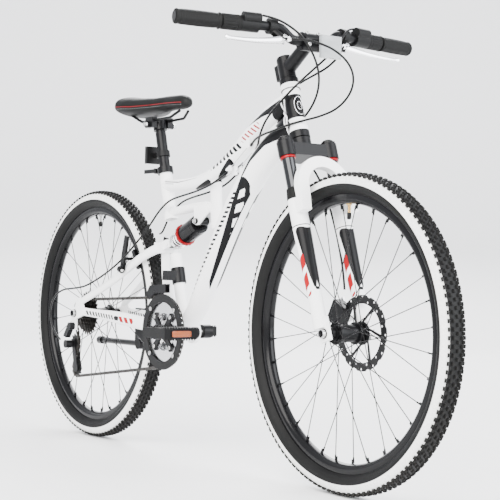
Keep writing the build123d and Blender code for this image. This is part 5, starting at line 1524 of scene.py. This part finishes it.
# ---- drivetrain ----
@dataclass
class Drivetrain:
    """The roller chain, the crank and chainring bolts, and the pedals' lenses and pins."""

    finishes: Finishes
    pitch: float = 0.0127
    line_y: float = -0.053

    def radius(self, teeth: int) -> float:
        """Gives a sprocket's pitch radius from its teeth."""
        return self.pitch / (2 * math.sin(math.pi / teeth))

    def path(self) -> Array:
        """Works out the chain's closed pitch line, one point for each pin.

        Each straight run is the tangent between two sprockets, each arc keeps to its sprocket,
        and the pins are evenly spaced along the whole line.
        """
        wheels = (
            (REAR_HUB, self.radius(18), 1.0), (BOTTOM_BRACKET, self.radius(42), 1.0),
            ((-0.556, 0.186), self.radius(11), 1.0), ((-0.572, 0.253), self.radius(11), -1.0),
        )
        ends = []
        for (c1, r1, s1), (c2, r2, s2) in zip(wheels, wheels[1:] + wheels[:1]):
            run = np.array(c2) - np.array(c1)
            gap = np.linalg.norm(run)
            normal = math.atan2(run[1], run[0]) + math.pi / 2 - math.asin((s1 * r1 - s2 * r2) / gap)
            unit = np.array([math.cos(normal), math.sin(normal)])
            ends.append((np.array(c1) + s1 * r1 * unit, np.array(c2) + s2 * r2 * unit))
        line = []
        for i, (start, end) in enumerate(ends):
            centre, radius, sign = wheels[(i + 1) % 4]
            after = ends[(i + 1) % 4][0]
            share = np.linspace(0, 1, 60, endpoint=False)[:, None]
            line.append(start + (end - start) * share)
            a0 = math.atan2(*(end - centre)[::-1])
            a1 = math.atan2(*(after - centre)[::-1])
            sweep = -((a0 - a1) % (2 * math.pi)) if sign > 0 else (a1 - a0) % (2 * math.pi)
            arc = a0 + sweep * np.linspace(0, 1, 90, endpoint=False)
            line.append(np.array(centre) + radius * np.column_stack([np.cos(arc), np.sin(arc)]))
        whole = np.concatenate(line)
        whole = np.concatenate([whole, whole[:1]])
        reach = np.concatenate([[0], np.cumsum(np.linalg.norm(np.diff(whole, axis=0), axis=1))])
        count = 2 * round(reach[-1] / self.pitch / 2)
        spots = np.linspace(0, reach[-1], count, endpoint=False)
        return np.column_stack([np.interp(spots, reach, whole[:, k]) for k in range(2)])

    def plate(self, side: float, thick: float, waist: float) -> Surface:
        """Builds one side plate: two round ends with a waist between, from pin to pin along x."""
        angle = np.linspace(0, 2 * np.pi, 20, endpoint=False)
        x = self.pitch / 2 + (self.pitch / 2 + 0.0042) * np.cos(angle)
        z = np.sign(np.sin(angle)) * 0.0042 * np.abs(np.sin(angle)) ** 0.45
        z = z * (1 - waist * np.exp(-((x - self.pitch / 2) / 0.003) ** 2))
        rows = [np.column_stack([x, np.full(20, side), z]),
                np.column_stack([x, np.full(20, side + thick), z])]
        return grid(np.stack(rows))

    def chain(self) -> Surface:
        """Builds the chain: inner and outer links by turns, with a roller or a pin at each joint."""
        pins = self.path()
        run = np.roll(pins, -1, axis=0) - pins
        unit = run / np.linalg.norm(run, axis=1)[:, None]
        zero = np.zeros(len(unit))
        turns = np.stack([
            np.column_stack([unit[:, 0], zero, unit[:, 1]]), np.tile([0.0, 1.0, 0.0], (len(unit), 1)),
            np.column_stack([-unit[:, 1], zero, unit[:, 0]]),
        ], axis=-1)
        places = np.column_stack([pins[:, 0], np.full(len(pins), self.line_y), pins[:, 1]])
        out = np.array([0.0, 1.0, 0.0])
        roller = spun(np.array([[-0.0016, 0.0036], [-0.0013, 0.0039], [0.0013, 0.0039], [0.0016, 0.0036]]),
                      np.zeros(3), out, 12)
        pin = spun(np.array([[-0.0038, 0.0014], [-0.0036, 0.0018], [0.0036, 0.0018], [0.0038, 0.0014]]),
                   np.zeros(3), out, 8)
        inner = self.plate(0.0017, 0.0009, 0.2).joined(self.plate(-0.0026, 0.0009, 0.2))
        outer = self.plate(0.0027, 0.0009, 0.2).joined(self.plate(-0.0036, 0.0009, 0.2))
        return inner.repeated(turns[::2], places[::2]).joined(
            outer.repeated(turns[1::2], places[1::2]), roller.joined(pin).repeated(turns, places))

    def ring_bolts(self) -> Surface:
        """Builds the chainring bolts, the crank bolt's cap and the guard's rivets."""
        out = np.array([0.0, -1.0, 0.0])
        middle = np.array([BOTTOM_BRACKET[0], 0.0, BOTTOM_BRACKET[1]])
        rows = np.array([[0.0, 0.0052], [0.0016, 0.0052], [0.0022, 0.0044], [0.0022, 0.0028],
                         [0.0008, 0.0026], [0.0008, 0.0004]])
        lean = 2 * np.pi * (np.arange(4) + 0.5) / 4
        whole = spun(np.array([[0.0785, 0.0125], [0.0795, 0.0130], [0.0812, 0.0122], [0.0818, 0.0080]]),
                     middle, out, 40)
        for radius, y in ((0.0515, -0.0594), (0.0775, -0.0605)):
            bolt = spun(rows, np.array([0.0, y, 0.0]), out, 20)
            places = middle + radius * np.column_stack([np.cos(lean), np.zeros(4), np.sin(lean)])
            whole = whole.joined(bolt.repeated(np.tile(np.eye(3), (4, 1, 1)), places))
        return whole

    def pedal_lens(self, middle: tuple[float, float], side: Side) -> Surface:
        """Builds the two long lenses of one pedal, each a pillow in its frame."""
        whole: Surface | None = None
        for end in (1.0, -1.0):
            angle = np.linspace(0, 2 * np.pi, 32, endpoint=False)
            y = side.value * 0.138 + 0.0255 * np.sign(np.cos(angle)) * np.abs(np.cos(angle)) ** 0.25
            z = middle[1] + 0.0070 * np.sign(np.sin(angle)) * np.abs(np.sin(angle)) ** 0.25
            rows = []
            for forward, shrink in ((0.0455, 1.0), (0.0492, 1.0), (0.0497, 0.94)):
                rows.append(np.column_stack([
                    np.full(32, middle[0] + end * forward),
                    side.value * 0.138 + (y - side.value * 0.138) * shrink,
                    middle[1] + (z - middle[1]) * shrink,
                ]))
            part = grid(np.stack(rows))
            whole = part if whole is None else whole.joined(part)
        return whole

    def pedal_pins(self, middle: tuple[float, float], side: Side) -> Surface:
        """Builds the moulded teeth along the upper and lower edges of one pedal."""
        tooth = wedge(0.0045, 0.0034, 0.0034, 0.5)
        y = side.value * np.linspace(0.099, 0.178, 12)
        whole: Surface | None = None
        for end in (0.0425, -0.0425):
            for up in (1.0, -1.0):
                turn = np.array([[1.0, 0, 0], [0, up, 0], [0, 0, up]])
                places = np.column_stack([np.full(12, middle[0] + end), y,
                                          np.full(12, middle[1] + up * 0.0119)])
                row = tooth.repeated(np.tile(turn, (12, 1, 1)), places)
                whole = row if whole is None else whole.joined(row)
        return whole

    def build(self) -> int:
        """Builds the drivetrain's pieces and seats them.

        Returns:
            How many pieces there are.
        """
        chain = self.chain().make("roller_chain", self.finishes.oiled)
        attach(chain, "rear_arm")
        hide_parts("chain")
        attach(self.ring_bolts().make("crank_and_ring_bolts", self.finishes.steel), "crankset")
        lean = math.radians(2.4)
        reach = (0.170 * math.cos(lean), 0.170 * math.sin(lean))
        for side, word in ((Side.RIGHT, "right"), (Side.LEFT, "left")):
            sign = -side.value
            middle = (BOTTOM_BRACKET[0] + sign * reach[0], BOTTOM_BRACKET[1] + sign * reach[1])
            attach(self.pedal_lens(middle, side).make(word + "_pedal_lenses", self.finishes.amber),
                    word + "_pedal_body")
            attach(self.pedal_pins(middle, side).make(word + "_pedal_teeth", self.finishes.plastic),
                    word + "_pedal_body")
        return 6


# ---- cables ----
@dataclass(frozen=True)
class Cable:
    """One cable housing: its route in metres, and the two bodies that it runs between."""

    name: str
    route: tuple[Point, ...]
    replaces: str
    first: str
    second: str
    bend_start: Point
    bend_end: Point
    radius: float = 0.0025

    def build(self, finishes: Finishes) -> bpy.types.Object:
        """Builds the housing as a tube along its spline.

        Args:
            finishes: the bike's materials.

        Returns:
            The housing.
        """
        line = smooth_line(np.array(self.route), self.name)
        piece = tube(line, self.radius, 12).make(self.name, finishes.cable)
        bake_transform(piece)
        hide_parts(self.replaces)
        length = float(np.linalg.norm(np.diff(line, axis=0), axis=1).sum())
        return piece


CABLES = (
    Cable(
        "rear_gear_front_housing",
        (
            (0.390, -0.124, 1.002), (0.402, -0.102, 0.998), (0.416, -0.074, 0.984), (0.424, -0.042, 0.962),
            (0.416, -0.010, 0.934), (0.402, 0.016, 0.908), (0.388, 0.033, 0.879), (0.371, 0.039, 0.845),
            (0.344, 0.037, 0.812), (0.306, 0.033, 0.788), (0.258, 0.030, 0.770), (0.216, 0.022, 0.754),
            (0.199, 0.015, 0.746),
        ),
        "front_housings", "steering", "frame", (0.400, 0.0, 0.900), (0.300, 0.0, 0.785),
    ),
    Cable(
        "rear_brake_front_housing",
        (
            (0.418, -0.070, 0.954), (0.428, -0.044, 0.956), (0.441, -0.012, 0.950), (0.453, 0.020, 0.938),
            (0.468, 0.046, 0.914), (0.475, 0.060, 0.882), (0.464, 0.061, 0.846), (0.430, 0.052, 0.815),
            (0.396, 0.032, 0.800), (0.382, 0.000, 0.790), (0.366, -0.027, 0.781), (0.332, -0.036, 0.772),
            (0.286, -0.035, 0.766), (0.240, -0.028, 0.760), (0.214, -0.020, 0.752), (0.199, -0.015, 0.746),
        ),
        "front_housings", "steering", "frame", (0.470, 0.0, 0.900), (0.300, 0.0, 0.770),
    ),
    Cable(
        "front_gear_housing",
        (
            (0.390, 0.124, 1.002), (0.402, 0.102, 0.998), (0.412, 0.082, 0.984), (0.411, 0.066, 0.958),
            (0.400, 0.042, 0.928), (0.386, 0.010, 0.896), (0.368, -0.020, 0.862), (0.334, -0.034, 0.830),
            (0.292, -0.038, 0.800), (0.256, -0.030, 0.770), (0.222, -0.012, 0.746), (0.199, 0.000, 0.737),
        ),
        "front_housings", "steering", "frame", (0.400, 0.0, 0.900), (0.290, 0.0, 0.795),
    ),
    Cable(
        "front_brake_hose",
        (
            (0.420, 0.072, 0.954), (0.416, 0.066, 0.934), (0.398, 0.048, 0.908), (0.362, 0.038, 0.894),
            (0.318, 0.038, 0.884), (0.276, 0.030, 0.866), (0.250, 0.026, 0.836), (0.242, 0.034, 0.800),
            (0.256, 0.044, 0.764), (0.292, 0.052, 0.728), (0.334, 0.057, 0.696), (0.370, 0.058, 0.656),
            (0.398, 0.058, 0.608), (0.422, 0.058, 0.556), (0.442, 0.057, 0.502), (0.456, 0.056, 0.454),
            (0.461, 0.055, 0.424),
        ),
        "front_brake_housing", "steering", "lowers", (0.292, 0.0, 0.728), (0.440, 0.0, 0.502),
    ),
    Cable(
        "rear_brake_rear_housing",
        (
            (0.101, 0.015, 0.688), (0.060, 0.019, 0.668), (0.012, 0.020, 0.655), (-0.042, 0.019, 0.646),
            (-0.098, 0.019, 0.639), (-0.148, 0.022, 0.631), (-0.194, 0.026, 0.614), (-0.232, 0.030, 0.590),
            (-0.262, 0.036, 0.564), (-0.284, 0.042, 0.552), (-0.300, 0.046, 0.551),
        ),
        "rear_housings", "frame", "rear_arm", (0.012, 0.0, 0.655), (-0.262, 0.0, 0.564),
    ),
    Cable(
        "rear_gear_rear_housing",
        (
            (0.101, -0.015, 0.688), (0.060, -0.019, 0.668), (0.012, -0.020, 0.655), (-0.042, -0.019, 0.646),
            (-0.098, -0.019, 0.639), (-0.146, -0.022, 0.630), (-0.186, -0.027, 0.604),
            (-0.212, -0.038, 0.566),
            (-0.238, -0.056, 0.528), (-0.272, -0.068, 0.494), (-0.320, -0.071, 0.467),
            (-0.372, -0.072, 0.445),
            (-0.424, -0.075, 0.425), (-0.474, -0.080, 0.408), (-0.528, -0.086, 0.402),
            (-0.584, -0.090, 0.398),
            (-0.632, -0.092, 0.376), (-0.654, -0.092, 0.336), (-0.642, -0.091, 0.298),
            (-0.612, -0.090, 0.272),
            (-0.590, -0.090, 0.262),
        ),
        "rear_housings", "frame", "rear_arm", (0.012, 0.0, 0.655), (-0.272, 0.0, 0.494),
    ),
)


@dataclass
class CableRun:
    """Every housing, the bare wires between the stops, and the ferrules at the stops."""

    finishes: Finishes

    def wires(self) -> Surface:
        """Builds the three bare wires under the top tube, straight, the middle one a little lower."""
        share = np.linspace(0, 1, 24)[:, None]
        whole: Surface | None = None
        for y, drop in ((-0.015, 0.0), (0.015, 0.0), (0.0, 0.009)):
            start, end = np.array([0.182, y, 0.740 - drop]), np.array([0.119, y, 0.700 - drop])
            line = start + (end - start) * share
            wire = tube(line, 0.0008, 8)
            whole = wire if whole is None else whole.joined(wire)
        return whole

    def ferrules(self) -> Surface:
        """Builds the metal ferrules where the housings meet the stops."""
        whole: Surface | None = None
        rows = np.array([[-0.001, 0.0030], [0.0, 0.0034], [0.0080, 0.0034], [0.0088, 0.0028]])
        for place, run in (
            ((0.199, 0.015, 0.746), (0.017, 0.007, 0.008)), ((0.199, -0.015, 0.746), (0.015, -0.005, 0.006)),
            ((0.199, 0.0, 0.737), (0.023, -0.012, 0.009)), ((0.102, 0.015, 0.688), (-0.041, 0.004, -0.020)),
            ((0.102, -0.015, 0.688), (-0.041, -0.004, -0.020)),
        ):
            ferrule = spun(rows, np.array(place), np.array(run), 20)
            whole = ferrule if whole is None else whole.joined(ferrule)
        return whole

    def build(self) -> int:
        """Builds the cables, and seats the bare wires and the ferrules on the frame.

        Returns:
            How many pieces there are.
        """
        for cable in CABLES:
            cable.build(self.finishes)
        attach(self.wires().make("bare_wires", self.finishes.steel), "frame")
        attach(self.ferrules().make("cable_ferrules", self.finishes.black), "frame")
        return len(CABLES) + 2


# ---- studio ----
@dataclass
class Studio:
    """The floor, the lights and the camera."""

    place: Point = (2.707, -1.747, 0.468)
    yaw: float = 145.33
    pitch: float = 0.74
    roll: float = -1.11
    lens: float = 96.4

    def camera(self) -> None:
        """Adds the camera, turned by its yaw, its pitch and then its roll."""
        yaw, pitch, roll = (math.radians(v) for v in (self.yaw, self.pitch, self.roll))
        ahead = Vector((math.cos(yaw) * math.cos(pitch), math.sin(yaw) * math.cos(pitch), math.sin(pitch)))
        right = ahead.cross(Vector((0, 0, 1))).normalized()
        down = ahead.cross(right)
        turned = right * math.cos(roll) + down * math.sin(roll)
        dropped = -right * math.sin(roll) + down * math.cos(roll)
        data = bpy.data.cameras.new("camera")
        data.lens = self.lens
        data.sensor_width = 36.0
        camera = bpy.data.objects.new("camera", data)
        turn = Matrix((turned, -dropped, -ahead)).transposed().to_4x4()
        camera.matrix_world = Matrix.Translation(self.place) @ turn
        bpy.context.scene.collection.objects.link(camera)
        bpy.context.scene.camera = camera

    def floor(self) -> None:
        """Adds the pale floor, which curves up into a wall far behind."""
        row = np.array([[-8.0, 0.0], [2.5, 0.0], [4.0, 0.06], [5.2, 0.6], [5.8, 1.8], [6.0, 5.0]])
        side = np.linspace(-9, 9, 3)
        away = np.array([math.cos(math.radians(self.yaw)), math.sin(math.radians(self.yaw))])
        across = np.array([-away[1], away[0]])
        flat = row[:, 0][:, None, None] * away + side[None, :, None] * across
        points = np.concatenate([flat, np.broadcast_to((row[:, 1] - 0.0004)[:, None, None], (6, 3, 1))],
                                axis=-1)
        finish = Finish("pale_floor", (0.88, 0.88, 0.88), (0.85, 0.85, 0.85), 0.7, 0.1, grain=200,
                        bump=0.02).build()
        floor = grid(points, around=False, ends=False).make("floor", finish, 180)

    def light(self, name: str, place: Point, target: Point, size: float, power: float,
              colour: Colour = (1, 1, 1)) -> None:
        """Adds one square soft light that faces a point."""
        data = bpy.data.lights.new(name, "AREA")
        data.size = size
        data.energy = power
        data.color = colour
        lamp = bpy.data.objects.new(name, data)
        lamp.location = place
        lamp.rotation_euler = (Vector(target) - Vector(place)).to_track_quat("-Z", "Y").to_euler()
        bpy.context.scene.collection.objects.link(lamp)

    def build(self) -> None:
        """Sets the stage."""
        self.camera()
        self.floor()
        world = bpy.data.worlds.new("studio")
        world.use_nodes = True
        background = world.node_tree.nodes["Background"]
        background.inputs[0].default_value = (0.93, 0.95, 1.0, 1.0)
        background.inputs[1].default_value = 2.0
        bpy.context.scene.world = world
        self.light("key_light", (2.2, -3.4, 3.2), (0.0, 0.0, 0.5), 4.2, 760.0, (1.0, 0.98, 0.95))
        self.light("fill_light", (3.4, 1.8, 1.8), (0.0, 0.0, 0.5), 3.2, 320.0, (0.95, 0.97, 1.0))
        self.light("rim_light", (-2.8, 2.4, 3.0), (0.0, 0.0, 0.6), 3.0, 300.0)


def main() -> None:
    """Builds every sub-assembly in order."""
    logging.basicConfig(level=logging.INFO, format="%(name)s: %(message)s")
    finishes = Finishes()
    dress_frame_nodes(finishes)
    assemblies = (
        Wheel("front", "front_wheel", FRONT_HUB, finishes),
        Wheel("rear", "rear_wheel", REAR_HUB, finishes, "steel"),
        FrameDetails(finishes), ForkDetails(finishes), Cockpit(finishes), Saddle(finishes), Shock(finishes),
        Drivetrain(finishes), CableRun(finishes),
    )
    for assembly in assemblies:
        LOG.info("%s: %d pieces", type(assembly).__name__, assembly.build())
    Studio().build()


if __name__ == "__main__":
    main()
